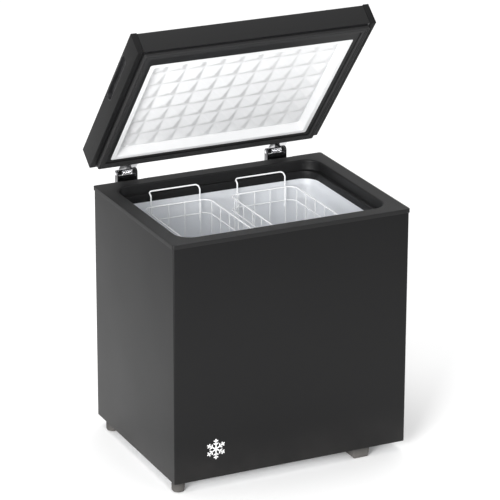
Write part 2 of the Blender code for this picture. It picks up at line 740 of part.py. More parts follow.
def dial_dish(cabinet, face):
    """The sunk dish round the dial, moulded in one with the grille."""
    wall = 0.0015
    return turned(
        "dial_dish", cabinet, (face, DIAL_Y, DIAL_Z),
        [
            (0.0045, wall - DIAL_DEPTH), (DIAL_DISH - 2 * wall, wall - DIAL_DEPTH),
            (DIAL_DISH - wall, 0.0), (DIAL_DISH + wall, 0.0), (DIAL_DISH + wall, -GRILLE_SHEET),
            (DIAL_DISH, -GRILLE_SHEET - 0.002),
            (DIAL_DISH - wall, -DIAL_DEPTH), (0.0045, -DIAL_DEPTH), (0.0045, wall - DIAL_DEPTH),
        ],
        axis="X", sides=24,
    )


def control(cabinet):
    """The thermostat behind the grille, its lamp and its knob."""
    face = SHELL_X + CLEAR + GRILLE_SHEET
    wall = 0.0015
    back = face - DIAL_DEPTH - CLEAR
    box(
        "thermostat_body", cabinet, (back - 0.028, DIAL_Y - 0.018, DIAL_Z - 0.016),
        (back, DIAL_Y + 0.018, DIAL_Z + 0.016), "zinc", bevel=0.002,
    )
    turned(
        "status_lamp", cabinet, (face - GRILLE_SHEET, DIAL_Y, DIAL_Z - 0.050),
        [(0.0, 0.0030), (0.0020, 0.0024), (0.0030, 0.0012), (0.0030, -0.012), (0.0, -0.012)],
        axis="X", surface="lamp", sides=12,
    )
    dial = Frame("thermostat_axis", (face, DIAL_Y, DIAL_Z), cabinet)
    low = wall - DIAL_DEPTH + CLEAR
    knob = turned(
        "thermostat_knob", dial, (face, DIAL_Y, DIAL_Z),
        [
            (0.0, low + 0.0105), (0.0145, low + 0.0105), (0.0160, low + 0.0090),
            (DIAL_RADIUS, low + 0.0030), (DIAL_RADIUS, low), (0.0035, low),
            (0.0035, low - 0.0012), (0.0, low - 0.0012),
        ],
        axis="X", surface="black_plastic", sides=20,
    )
    grip = box(
        "knob_grip", dial, (face + low + 0.006, DIAL_Y - 0.0035, DIAL_Z - 0.0170),
        (face - 0.0004, DIAL_Y + 0.0035, DIAL_Z + 0.0170),
    )
    return boolean(knob, grip, "UNION")


def cord_gland(cabinet):
    """The bush in the rear panel that the supply cord would come through."""
    face = SHELL_Y - SHEET
    return turned(
        "cord_gland", cabinet, (SHELL_X - 0.060, face, 0.045),
        [
            (0.0045, 0.012), (0.0075, 0.012), (0.0085, 0.010), (0.0120, 0.003), (0.0120, 0.0),
            (0.0090, 0.0), (0.0090, -0.010), (0.0045, -0.010), (0.0045, 0.012),
        ],
        axis="Y", surface="dark_plastic", sides=12,
    )


def drain(cabinet):
    """The tub's drain: the plug on the floor, the pipe through the foam and its lower cap."""
    floor = FLOOR_FOAM
    sides = 12
    plug = Frame("drain_plug_axis", (DRAIN_X, DRAIN_Y, floor), cabinet)
    turned(
        "drain_plug", plug, (DRAIN_X, DRAIN_Y, floor),
        [
            (0.0, 0.008), (0.0040, 0.008), (0.0050, 0.006), (0.0050, 0.004), (0.0165, 0.003),
            (0.0165, CLEAR), (0.0080, CLEAR), (0.0070, -0.012), (0.0, -0.012),
        ],
        surface="foot_rubber", sides=sides,
    )
    pipe_top = floor - LINER_SHEET - CLEAR
    turned(
        "drain_pipe", cabinet, (DRAIN_X, DRAIN_Y, 0),
        [
            (0.0100, pipe_top), (0.0140, pipe_top), (0.0140, pipe_top - 0.003),
            (0.0125, pipe_top - 0.006), (0.0125, -0.006), (0.0100, -0.006), (0.0100, pipe_top),
        ],
        surface="white_plastic", sides=sides,
    )
    cap = Frame("drain_cap_axis", (DRAIN_X, DRAIN_Y, -0.006), cabinet)
    bore = (0.0125 + CLEAR) / math.cos(math.pi / sides)
    turned(
        "drain_cap", cap, (DRAIN_X, DRAIN_Y, 0),
        [
            (0.0, -0.0080), (bore, -0.0080), (bore, -0.0010), (0.0150, -0.0010),
            (0.0160, -0.0020), (0.0160, -0.0100), (0.0150, -0.0110), (0.0, -0.0110),
        ],
        surface="dark_plastic", sides=sides,
    )


def feet(cabinet):
    """Two round feet on the left, and two skids under the compressor's side."""
    profile = [
        (0.0, -CLEAR), (FOOT_RADIUS, -CLEAR), (FOOT_RADIUS, -FOOT_HEIGHT + 0.006),
        (FOOT_RADIUS - 0.002, -FOOT_HEIGHT + 0.002), (FOOT_RADIUS - 0.006, -FOOT_HEIGHT),
        (0.0, -FOOT_HEIGHT),
    ]
    front = -SHELL_Y + FOOT_INSET_FRONT
    rear = SHELL_Y - FOOT_INSET_REAR
    for label, along in (("front", front), ("rear", rear)):
        turned(
            f"foot_{label}_left", cabinet, (-SHELL_X + FOOT_INSET_X, along, 0), profile,
            surface="foot_rubber", sides=20,
        )
    skid_front = -SHELL_Y + 0.004 + SKID_LENGTH / 2
    skid_rear = SHELL_Y - 0.020 - SKID_LENGTH / 2
    for label, along in (("front", skid_front), ("rear", skid_rear)):
        loft(
            f"foot_{label}_right", cabinet, (SHELL_X - SKID_INSET, along, 0),
            [
                (SKID_WIDTH / 2 - 0.003, SKID_LENGTH / 2 - 0.003, 0.004, -FOOT_HEIGHT),
                (SKID_WIDTH / 2, SKID_LENGTH / 2, 0.004, -FOOT_HEIGHT + 0.004),
                (SKID_WIDTH / 2, SKID_LENGTH / 2, 0.004, -CLEAR),
            ],
            "foot_rubber", arc_steps=3,
        )


def hinge_bracket(cabinet, side, centre_x):
    """The lower half of a hinge: a channel on the rear panel with two lugs round the pin."""
    face = SHELL_Y + CLEAR
    low = BODY_HEIGHT - HINGE_FOOT
    origin = (centre_x, HINGE_Y, HINGE_Z)
    knee = -HINGE_COVER - HINGE_RISE
    outline = [
        (face - HINGE_Y, low - HINGE_Z),
        (face - HINGE_Y, BODY_HEIGHT - HINGE_Z),
        *arc((0, 0), HINGE_LUG, 112, 0, 6),
        (HINGE_LUG, knee),
        (HINGE_PLATE + face - HINGE_Y, knee - 0.020),
        (HINGE_PLATE + face - HINGE_Y, low - HINGE_Z),
    ]
    bracket = side_plate(f"hinge_bracket_{side}", cabinet, origin, outline, HINGE_WIDTH, "hinge_steel")
    half = HINGE_WIDTH / 2 - HINGE_PLATE
    back = HINGE_Y + SPRING_RADIUS + SPRING_WIRE + CLEAR
    channel = box(
        f"hinge_channel_{side}", cabinet, (centre_x - half, face + HINGE_PLATE, low - 0.01),
        (centre_x + half, back, HINGE_Z + 0.05),
    )
    boolean(bracket, channel)
    mouth = box(
        f"hinge_mouth_{side}", cabinet, (centre_x - half, back - 0.001, BODY_HEIGHT - 0.004),
        (centre_x + half, back + 0.05, HINGE_Z + 0.05),
    )
    boolean(bracket, mouth)
    bore = cylinder(
        f"bracket_bore_{side}", cabinet, origin, PIN_RADIUS + CLEAR, HINGE_WIDTH + 0.02, "X", sides=12,
    )
    return boolean(bracket, bore)


def hinge_arm(lid, side, centre_x):
    """The upper half of a hinge: a bent plate on the lid's rear face with two knuckles."""
    plate = LID_REAR + CLEAR - HINGE_Y
    thick = 0.0025
    top = LID_TOP - HINGE_Z - 0.0062
    outline = [
        (plate, top),
        (plate, 0.0015),
        (-0.0150, 0.0015),
        *arc((0, 0), KNUCKLE, 225, 450, 9),
        (plate + thick + 0.002, KNUCKLE),
        (plate + thick, KNUCKLE + 0.002),
        (plate + thick, top),
    ]
    origin = (centre_x, HINGE_Y, HINGE_Z)
    half = HINGE_WIDTH / 2 - HINGE_PLATE - 0.0007
    arm = side_plate(f"hinge_arm_{side}", lid, origin, outline, 2 * half, "chrome")
    room = box(
        f"spring_room_{side}", lid, (centre_x - 0.016, HINGE_Y - 0.012, HINGE_Z - 0.02),
        (centre_x + 0.016, HINGE_Y + 0.02, HINGE_Z + 0.02),
    )
    boolean(arm, room)
    bore = cylinder(
        f"arm_bore_{side}", lid, origin, PIN_RADIUS + CLEAR, HINGE_WIDTH + 0.02, "X", sides=12,
    )
    return boolean(arm, bore)


def hinge_pin(cabinet, side, centre_x):
    """The headed pin through the lugs and the knuckles."""
    half = HINGE_WIDTH / 2 + CLEAR
    head = PIN_RADIUS + 0.0022
    profile = [
        (0.0, half + 0.0022), (head - 0.0008, half + 0.0022), (head, half + 0.0014), (head, half),
        (PIN_RADIUS, half), (PIN_RADIUS, -half), (head, -half), (head, -half - 0.0014),
        (head - 0.0008, -half - 0.0022), (0.0, -half - 0.0022),
    ]
    return turned(
        f"hinge_pin_{side}", cabinet, (centre_x, HINGE_Y, HINGE_Z), profile, axis="X",
        surface="chrome", sides=12,
    )


def hinge_spring(cabinet, side, centre_x):
    """The torsion spring round the pin; its legs end in the channel and under the lid's arm."""
    steps = 8
    width = 2 * 0.0125
    turns = SPRING_TURNS + 0.25
    count = round(turns * steps)
    points = [(-width / 2, SPRING_RADIUS, -0.030)]
    for step in range(count + 1):
        turn = 2 * math.pi * step / steps
        across = -width / 2 + width * step / count
        points.append((across, SPRING_RADIUS * math.cos(turn), SPRING_RADIUS * math.sin(turn)))
    last = points[-1]
    points.append((last[0], last[1] - 0.005, last[2]))
    return tube(
        f"hinge_spring_{side}", cabinet, (centre_x, HINGE_Y, HINGE_Z), points, SPRING_WIRE,
        "chrome", sides=1,
    )


def lid_outer(lid):
    """The folded sheet of the lid: top, front and rear, between the two end caps."""
    half = WIDTH / 2 - CAP_WIDTH - CLEAR
    front, rear = -LID_REAR + CAP_PROUD, LID_REAR
    top = LID_TOP - CAP_PROUD
    panel = box(
        "lid_outer_panel", lid, (-half, front, LID_BOTTOM), (half, rear, top), "black_enamel",
        bevel=0.003,
    )
    hollow = box(
        "lid_hollow", lid, (-half - 0.01, front + LID_SHEET, LID_BOTTOM - 0.01),
        (half + 0.01, rear - LID_SHEET, top - LID_SHEET), bevel=0.002,
    )
    return boolean(panel, hollow)


def stadium(low, high, centre, radius, steps=6):
    """Outline of a slot with one full round at its low end and small corners at the other."""
    corner = radius * 0.55
    return [
        *arc((low + radius, centre), radius, 90, 270, 2 * steps),
        *arc((high - corner, centre - radius + corner), corner, -90, 0, 3),
        *arc((high - corner, centre + radius - corner), corner, 0, 90, 3),
    ]


def lid_caps(lid):
    """The moulded end caps, each with the dark cup of its grip pocket."""
    half = (GRIP_BOTTOM - GRIP_TOP) / 2
    middle = LID_TOP - (GRIP_TOP + GRIP_BOTTOM) / 2
    for side, sign in (("left", -1), ("right", 1)):
        outer = sign * WIDTH / 2
        inner = outer - sign * CAP_WIDTH
        cap = box(
            f"lid_cap_{side}", lid, (min(outer, inner), -LID_REAR, LID_BOTTOM),
            (max(outer, inner), LID_REAR, LID_TOP), "black_plastic", bevel=0.0015,
        )
        # The outlines run towards the front, which is -Y.
        fit = [(-y, z) for y, z in stadium(GRIP_REAR, GRIP_FRONT, 0.0, half)]
        pocket_x = outer - sign * GRIP_DEPTH / 2
        pocket = side_plate(
            f"grip_pocket_{side}", lid, (pocket_x + sign * 0.005, LID_REAR, middle), fit,
            GRIP_DEPTH + 0.010,
        )
        boolean(cap, pocket)
        shrink = [
            (-y, z)
            for y, z in stadium(GRIP_REAR + CLEAR, GRIP_FRONT - CLEAR, 0.0, half - CLEAR)
        ]
        depth = GRIP_DEPTH - 2 * CLEAR
        cup = side_plate(
            f"grip_cup_{side}", lid, (outer - sign * (depth / 2 + CLEAR), LID_REAR, middle), shrink,
            depth, "dark_plastic",
        )
        hollow = [
            (-y, z)
            for y, z in stadium(
                GRIP_REAR + GRIP_WALL, GRIP_FRONT - GRIP_WALL, 0.0, half - GRIP_WALL,
            )
        ]
        scoop = side_plate(
            f"grip_scoop_{side}", lid, (outer - sign * (depth / 2 - GRIP_WALL), LID_REAR, middle),
            hollow, depth,
        )
        boolean(cup, scoop)


def lid_section(rear, front, half_x, corner, level):
    """A section of the lid's underside, as half sizes round its own centre."""
    return (half_x, (front - rear) / 2, corner, LID_TOP - level)


def lid_inside(lid):
    """The black inner frame, its gasket, the white liner and the lid's foam."""
    frame_y = LID_REAR - (FRAME_REAR + FRAME_FRONT) / 2
    panel_y = LID_REAR - (PANEL_REAR + PANEL_FRONT) / 2
    seat = FRAME_LEVEL - 0.0055
    roof = LID_HEIGHT - CAP_PROUD

    def border(inset, level):
        size = (FRAME_FRONT - FRAME_REAR) / 2 - inset
        return (FRAME_HALF_X - inset, size, max(FRAME_CORNER - inset, 0.002), LID_TOP - level)

    frame = loft(
        "lid_inner_frame", lid, (0, frame_y, 0),
        [
            border(0.0, roof + CLEAR), border(0.0, seat), border(GASKET_WIDTH + CLEAR, seat),
            border(GASKET_WIDTH + CLEAR, FRAME_LEVEL),
        ],
        "black_plastic",
    )
    window = loft(
        "panel_window", lid, (0, panel_y, 0),
        [
            lid_section(PANEL_REAR, PANEL_FRONT, PANEL_HALF_X, 0.006, 0.09),
            lid_section(PANEL_REAR, PANEL_FRONT, PANEL_HALF_X, 0.006, 0.05),
        ],
    )
    boolean(frame, window)
    groove = GASKET_WIDTH / 2
    foot = seat + CLEAR
    tip = foot + GASKET_HEIGHT
    loft(
        "lid_gasket", lid, (0, frame_y, 0),
        [
            border(CLEAR, foot), border(CLEAR, tip - 0.002), border(0.003, tip),
            border(groove - 0.002, tip), border(groove, tip - GASKET_GROOVE),
            border(groove + 0.002, tip), border(GASKET_WIDTH - 0.003, tip),
            border(GASKET_WIDTH, tip - 0.002), border(GASKET_WIDTH, foot),
        ],
        "seal_rubber", ring=True,
    )
    recess = FRAME_LEVEL - PANEL_RECESS

    def tray(inset, level):
        return lid_section(
            PANEL_REAR + inset, PANEL_FRONT - inset, PANEL_HALF_X - inset, 0.006, level,
        )

    back = PANEL_SHEET
    loft(
        "lid_liner", lid, (0, panel_y, 0),
        [
            tray(PANEL_BORDER + 0.006, recess), tray(PANEL_BORDER, FRAME_LEVEL),
            tray(CLEAR, FRAME_LEVEL), tray(CLEAR, FRAME_LEVEL - back),
            tray(PANEL_BORDER - back, FRAME_LEVEL - back),
            tray(PANEL_BORDER + 0.006 - back, recess - back),
        ],
        "white_plastic",
    )
    half = WIDTH / 2 - CAP_WIDTH - CLEAR
    foam = box(
        "lid_foam", lid, (-half, -LID_REAR + CAP_PROUD + LID_SHEET + CLEAR, LID_BOTTOM + CLEAR),
        (half, LID_REAR - LID_SHEET - CLEAR, LID_TOP - CAP_PROUD - LID_SHEET - CLEAR), "foam",
        bevel=0.003,
    )
    frame_room = loft(
        "frame_room", lid, (0, frame_y, 0), [border(-CLEAR, roof), border(-CLEAR, 0.09)],
    )
    boolean(foam, frame_room)
    gap = back + CLEAR
    liner_room = loft(
        "liner_room", lid, (0, panel_y, 0),
        [
            tray(PANEL_BORDER + 0.006 - gap, recess - gap),
            tray(PANEL_BORDER - gap, FRAME_LEVEL - gap),
            tray(PANEL_BORDER - gap, 0.09),
        ],
    )
    return boolean(foam, liner_room)


def wire_grid(name, frame, centre, across, up, normal):
    """A welded grid of wires, spread between the ends of two lists of wire places."""
    half = BASKET_WIRE / 2
    cuts_a = sorted(place + edge for place in across for edge in (-half, half))
    cuts_b = sorted(place + edge for place in up for edge in (-half, half))
    shape = bmesh.new()
    grid = [[shape.verts.new((a, b, 0.0)) for a in cuts_a] for b in cuts_b]
    for row in range(len(cuts_b) - 1):
        for column in range(len(cuts_a) - 1):
            if row % 2 and column % 2:
                continue
            corners = (
                grid[row][column], grid[row][column + 1],
                grid[row + 1][column + 1], grid[row + 1][column],
            )
            shape.faces.new(corners)
    turns = {
        "Z": Matrix.Identity(4),
        "X": Matrix(((0, 0, 1, 0), (1, 0, 0, 0), (0, 1, 0, 0), (0, 0, 0, 1))),
        "Y": Matrix(((1, 0, 0, 0), (0, 0, 1, 0), (0, 1, 0, 0), (0, 0, 0, 1))),
    }
    bmesh.ops.transform(shape, matrix=turns[normal], verts=shape.verts)
    item = frame.hold(mesh_object(name, shape, "white_wire"), centre)
    wall = item.modifiers.new("wire", "SOLIDIFY")
    wall.thickness = BASKET_WIRE
    wall.offset = 0.0
    return item


def spread(low, high, pitch):
    """Evenly spaced places from low to high, about pitch apart."""
    count = max(1, round((high - low) / pitch))
    return [low + (high - low) * i / count for i in range(count + 1)]


def basket(cabinet, side, centre_x):
    """One wire basket: five flat grids and two hooked handles, on the empty that lifts it."""
    carrier = Frame(f"basket_{side}_lift", (centre_x, 0, BASKET_RIM_Z), cabinet)
    wire = BASKET_WIRE
    half_x, half_y = (BASKET_WIDTH - wire) / 2, (BASKET_DEPTH - wire) / 2
    bottom = BASKET_RIM_Z - BASKET_HEIGHT
    middle = (BASKET_RIM_Z + bottom) / 2
    half_z = BASKET_HEIGHT / 2 - wire / 2
    rails = [-half_z, half_z - 0.040, half_z]
    long_wires = spread(-half_y, half_y, BASKET_PITCH)
    inside = half_x - wire - CLEAR
    short_wires = spread(-inside, inside, BASKET_PITCH)
    for label, sign in (("outer", -1 if side == "left" else 1), ("inner", 1 if side == "left" else -1)):
        wire_grid(
            f"basket_{side}_{label}_side", carrier, (centre_x + sign * half_x, 0, middle),
            long_wires, rails, "X",
        )
    for label, sign in (("front", -1), ("rear", 1)):
        wire_grid(
            f"basket_{side}_{label}", carrier, (centre_x, sign * half_y, middle), short_wires,
            rails, "Y",
        )
    floor_y = half_y - wire - CLEAR
    wire_grid(
        f"basket_{side}_floor", carrier, (centre_x, 0, bottom + wire / 2), short_wires,
        spread(-floor_y, floor_y, BASKET_PITCH), "Z",
    )
    for label, sign in (("front", -1), ("rear", 1)):
        basket_handle(carrier, f"basket_{side}_handle_{label}", centre_x, sign)


def basket_handle(carrier, name, centre_x, sign):
    """A handle: two legs on the basket's end wall, bent over the ledge and joined across."""
    leg_y = sign * (BASKET_DEPTH / 2 + HANDLE_WIRE + CLEAR)
    bar_y = sign * (BAND_Y + 0.0045)
    bar_z = LEDGE_Z + 2.5 * HANDLE_WIRE
    half = HANDLE_WIDTH / 2
    bend = 0.008
    leg_top = bar_z - 0.009
    lean = (bar_y - leg_y, bar_z - leg_top)
    one_side = [
        (half, leg_y, BASKET_RIM_Z - HANDLE_LEG),
        (half, leg_y, leg_top),
        (half, leg_y + 0.65 * lean[0], leg_top + 0.65 * lean[1]),
        (half - 0.3 * bend, leg_y + 0.85 * lean[0], leg_top + 0.85 * lean[1]),
        (half - bend, bar_y, bar_z),
    ]
    other_side = [(-x, y, z) for x, y, z in reversed(one_side)]
    points = [(x, y, z - BASKET_RIM_Z) for x, y, z in one_side + other_side]
    return tube(name, carrier, (centre_x, 0, BASKET_RIM_Z), points, HANDLE_WIRE, "white_wire", sides=1)


def build():
    """Make every piece of the freezer."""
    clear_scene()
    cabinet = Frame("cabinet_frame", (0, 0, 0))
    lid = Frame("lid_axis", (0, HINGE_Y, HINGE_Z), cabinet, (-OPEN_ANGLE, 0.0, 0.0))
    outer_shell(cabinet)
    rear_panel(cabinet)
    base_pan(cabinet)
    rim_collar(cabinet)
    inner_liner(cabinet)
    insulation_foam(cabinet)
    evaporator_tube(cabinet)
    condenser_tube(cabinet)
    compressor_set(cabinet)
    compressor_grille(cabinet)
    control(cabinet)
    cord_gland(cabinet)
    drain(cabinet)
    feet(cabinet)
    for side, centre_x in (("left", -HINGE_X), ("right", HINGE_X)):
        hinge_bracket(cabinet, side, centre_x)
        hinge_arm(lid, side, centre_x)
        hinge_pin(cabinet, side, centre_x)
        hinge_spring(cabinet, side, centre_x)
    lid_outer(lid)
    lid_caps(lid)
    lid_inside(lid)
    basket(cabinet, "left", -BASKET_X)
    basket(cabinet, "right", BASKET_X)


build()
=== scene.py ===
"""Small black chest freezer with its lid open: the finished surface of every piece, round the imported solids."""

import json
import math

import bmesh
import bpy
from mathutils import Matrix, Vector


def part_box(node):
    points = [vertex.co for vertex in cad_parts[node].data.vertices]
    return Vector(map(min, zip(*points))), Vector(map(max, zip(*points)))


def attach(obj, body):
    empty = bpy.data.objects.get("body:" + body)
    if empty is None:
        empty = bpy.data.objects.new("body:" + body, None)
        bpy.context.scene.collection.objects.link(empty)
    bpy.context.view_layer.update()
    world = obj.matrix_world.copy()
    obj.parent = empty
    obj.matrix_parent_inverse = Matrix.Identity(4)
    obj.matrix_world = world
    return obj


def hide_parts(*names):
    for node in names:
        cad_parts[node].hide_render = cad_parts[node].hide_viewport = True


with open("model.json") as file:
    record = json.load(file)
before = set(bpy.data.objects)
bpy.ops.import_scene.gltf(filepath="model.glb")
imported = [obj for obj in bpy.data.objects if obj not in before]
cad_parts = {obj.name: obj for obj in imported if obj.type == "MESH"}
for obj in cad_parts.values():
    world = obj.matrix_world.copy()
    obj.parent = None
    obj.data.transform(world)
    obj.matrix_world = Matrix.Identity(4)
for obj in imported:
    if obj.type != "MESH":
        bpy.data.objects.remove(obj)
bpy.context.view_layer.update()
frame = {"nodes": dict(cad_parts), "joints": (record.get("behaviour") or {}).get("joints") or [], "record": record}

bl_info = {
    "name": "Chest Freezer",
    "version": (1, 0, 0),
    "blender": (4, 5, 0),
    "location": "3D View > Sidebar > Freezer",
    "description": "Builds the visible pieces of a small chest freezer round its frame",
    "category": "Object",
}

JOINTS = {joint["name"]: joint for joint in frame["joints"]}
NODES = frame["nodes"]

# The lid is written where it lies when it is shut, and this matrix opens it.
HINGE = Vector(JOINTS["lid_hinge"]["pos_m"])
OPEN_ANGLE = math.radians(-JOINTS["lid_hinge"]["range_deg"][0])
OPENING = Matrix.Translation(HINGE) @ Matrix.Rotation(-OPEN_ANGLE, 4, "X") @ Matrix.Translation(-HINGE)
MM = 0.001
CLEAR = 0.3 * MM
SIDES = (("left", -1), ("right", 1))


def bounds_of(places):
    """The low and the high corner round some places."""
    return Vector(map(min, zip(*places))), Vector(map(max, zip(*places)))


def shut_box(node):
    """The box of a lid's node as it lies when the lid is shut."""
    shutting = OPENING.inverted()
    return bounds_of([shutting @ vertex.co for vertex in NODES[node].data.vertices])


def span(nodes):
    """The box round several nodes."""
    return bounds_of([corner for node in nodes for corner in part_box(node)])


def middle_of(box):
    """The middle of a box, as three numbers."""
    return [(low + high) / 2 for low, high in zip(*box)]


# ---------------------------------------------------------------- sizes and colours


def length(label, text, default):
    """A length property in metres."""
    return bpy.props.FloatProperty(
        name=label, description=text, default=default, min=0.0, unit="LENGTH", subtype="DISTANCE",
        precision=5,
    )


def colour(label, text, default):
    """A colour property."""
    return bpy.props.FloatVectorProperty(
        name=label, description=text, default=default, size=3, min=0.0, max=1.0, subtype="COLOR",
    )


class FreezerCabinet(bpy.types.PropertyGroup):
    """Sizes of the cabinet, its collar and its tub."""

    sheet: length("Sheet", "Thickness of the steel and of the tub's sheet", 0.8 * MM)
    bend: length("Bend", "Radius of the cabinet's upright corners", 4 * MM)
    rim_width: length("Rim width", "Flat top of the collar", 44 * MM)
    rim_corner: length("Rim corner", "Corner radius of the collar's mouth", 48 * MM)
    rim_lip: length("Rim lip", "Height of the collar's outer lip", 12 * MM)
    rim_wall: length("Rim wall", "Thickness of the collar", 2.5 * MM)
    rim_edge: length("Rim edge", "Rounding of the collar's mouth", 4 * MM)
    ledge_drop: length("Ledge drop", "Basket ledge below the rim", 29 * MM)
    ledge_width: length("Ledge width", "Basket ledge, from the collar's wall", 12 * MM)
    band_depth: length("Band depth", "Whole height of the collar inside the tub", 52 * MM)
    tub_corner: length("Tub corner", "Radius of the tub's upright corners", 50 * MM)
    tub_edge: length("Tub edge", "Chamfer round the tub's floor", 12 * MM)
    step_width: length("Step width", "Step over the compressor, across the tub", 196.8 * MM)
    step_height: length("Step height", "Step over the bottom of the cabinet", 300 * MM)


class FreezerLid(bpy.types.PropertyGroup):
    """Sizes of the lid."""

    sheet: length("Sheet", "Thickness of the lid's steel", 0.8 * MM)
    bend: length("Bend", "Radius of the lid's folded edges", 3 * MM)
    border: length("Liner border", "Flat border of the white liner", 13 * MM)
    recess: length("Liner recess", "Depth of the quilted field", 26 * MM)
    slope: length("Liner slope", "Lean of the recess's walls", 6 * MM)
    columns: bpy.props.IntProperty(name="Columns", description="Quilted cells across", default=10, min=1)
    rows: bpy.props.IntProperty(name="Rows", description="Quilted cells front to rear", default=7, min=1)
    quilt: length("Quilt height", "Height of each quilted cell", 8 * MM)
    gasket: length("Gasket width", "Width of the rubber seal", 20 * MM)
    grip_wall: length("Grip wall", "Thickness of the grip's cup", 1.5 * MM)


class FreezerBasket(bpy.types.PropertyGroup):
    """Sizes of the wire baskets."""

    rim: length("Rim wire", "Radius of the rim's wire", 2.3 * MM)
    wire: length("Wire", "Radius of the upright wires", 1.5 * MM)
    handle: length("Handle wire", "Radius of the handles' wire", 2.2 * MM)
    pitch: length("Pitch", "Space between upright wires", 59 * MM)
    corner: length("Corner", "Corner radius of the rim", 24 * MM)
    rail_drop: length("Rail drop", "Second rail below the rim", 40 * MM)


class FreezerColours(bpy.types.PropertyGroup):
    """Colours of the main finishes."""

    enamel: colour("Enamel", "Painted steel of the cabinet and the lid", (0.0050, 0.0050, 0.0053))
    plastic: colour("Plastic", "Moulded collar, caps and grille", (0.0085, 0.0085, 0.0088))
    rubber: colour("Rubber", "Lid seal", (0.014, 0.014, 0.0145))
    liner: colour("Liner", "White liner of the lid", (0.70, 0.703, 0.708))
    tub: colour("Tub", "Metal tub", (0.88, 0.895, 0.92))
    wire: colour("Wire", "Coated basket wire", (0.88, 0.89, 0.90))


class FreezerStage(bpy.types.PropertyGroup):
    """Camera and light."""

    azimuth: bpy.props.FloatProperty(
        name="Azimuth", description="Camera's turn round the freezer", default=math.radians(-25.51),
        subtype="ANGLE",
    )
    elevation: bpy.props.FloatProperty(
        name="Elevation", description="Camera's height angle", default=math.radians(20.13),
        subtype="ANGLE",
    )
    roll: bpy.props.FloatProperty(
        name="Roll", description="Camera's tilt about its own axis", default=math.radians(0.17),
        subtype="ANGLE",
    )
    position: bpy.props.FloatVectorProperty(
        name="Position", description="Camera's place", default=(-3.340, -7.037, 3.415),
        subtype="TRANSLATION", unit="LENGTH",
    )
    lens: bpy.props.FloatProperty(
        name="Lens", description="Focal length in millimetres on a 36 mm sensor", default=211.4, min=1,
    )
    sky: bpy.props.FloatProperty(
        name="Sky", description="Strength of the white surround", default=0.80, min=0,
    )


GROUPS = {
    "freezer_cabinet": FreezerCabinet,
    "freezer_lid": FreezerLid,
    "freezer_basket": FreezerBasket,
    "freezer_colours": FreezerColours,
    "freezer_stage": FreezerStage,
}


# ---------------------------------------------------------------- node trees


class Tree:
    """A node tree being written: nodes are added with their inputs given as values or as sockets."""

    def __init__(self, tree):
        self.nodes, self.links = tree.nodes, tree.links

    def add(self, kind, inputs=None, **settings):
        """Add a node, set what it is told, and link every input that is a socket."""
        node = self.nodes.new(kind)
        for name, value in settings.items():
            setattr(node, name, value)
        for key, value in (inputs or {}).items():
            if isinstance(value, bpy.types.NodeSocket):
                self.links.new(value, node.inputs[key])
            else:
                node.inputs[key].default_value = value
        return node

    def out(self, kind, inputs=None, **settings):
        """Add a node; its first output."""
        return self.add(kind, inputs, **settings).outputs[0]

    def math(self, operation, first, second=0.0, third=0.0):
        """One sum; its result's socket."""
        return self.out("ShaderNodeMath", {0: first, 1: second, 2: third}, operation=operation)

    def vector(self, x=0.0, y=0.0, z=0.0):
        """A vector from three numbers or sockets."""
        return self.out("ShaderNodeCombineXYZ", {0: x, 1: y, 2: z})

    def noise(self, place, scale, detail):
        """Noise between 0 and 1."""
        return self.out("ShaderNodeTexNoise", {"Vector": place, "Scale": scale, "Detail": detail})

    def stored(self, name, kind="FLOAT"):
        """A value stored on the points under a name."""
        return self.out("GeometryNodeInputNamedAttribute", {"Name": name}, data_type=kind)

    def feed(self, sink, **values):
        """Link results to the sockets of the same names."""
        for label, value in values.items():
            self.links.new(value, sink[label.replace("_", " ")])


def group_tree(name, kind, inputs, outputs):
    """A node group with named sockets, made once; its tree, and its input and output nodes."""
    tree = bpy.data.node_groups.new(name, kind)
    for label, socket, default in inputs:
        made = tree.interface.new_socket(label, in_out="INPUT", socket_type=socket)
        if default is not None:
            made.default_value = default
    for label, socket in outputs:
        tree.interface.new_socket(label, in_out="OUTPUT", socket_type=socket)
    writer = Tree(tree)
    return tree, writer, writer.add("NodeGroupInput").outputs, writer.add("NodeGroupOutput").inputs


FLOAT, VECTOR, COLOUR = "NodeSocketFloat", "NodeSocketVector", "NodeSocketColor"
INTEGER, MATERIAL, GEOMETRY = "NodeSocketInt", "NodeSocketMaterial", "NodeSocketGeometry"


def grain_group():
    """Fine moulded or sprayed grain, with slow clouds in colour and gloss."""
    tree, add, source, sink = group_tree(
        "surface_grain", "ShaderNodeTree",
        [
            ("Vector", VECTOR, None), ("Colour", COLOUR, (0.5, 0.5, 0.5, 1.0)),
            ("Roughness", FLOAT, 0.5), ("Grain", FLOAT, 800.0), ("Cloud", FLOAT, 5.0),
            ("Colour Spread", FLOAT, 0.05), ("Roughness Spread", FLOAT, 0.05),
        ],
        [("Colour", COLOUR), ("Roughness", FLOAT), ("Height", FLOAT)],
    )
    fine = add.noise(source["Vector"], source["Grain"], 3.0)
    slow = add.noise(source["Vector"], source["Cloud"], 4.0)
    swing = add.math("MULTIPLY_ADD", slow, 2.0, -1.0)
    light = add.math("MULTIPLY_ADD", swing, source["Colour Spread"], 1.0)
    tint = add.out(
        "ShaderNodeVectorMath", {0: source["Colour"], "Scale": light}, operation="SCALE",
    )
    speck = add.math("MULTIPLY_ADD", fine, 0.8, -0.4)
    both = add.math("ADD", swing, speck)
    rough = add.math("MULTIPLY_ADD", both, source["Roughness Spread"], source["Roughness"])
    add.feed(sink, Colour=tint, Roughness=rough, Height=fine)
    return tree


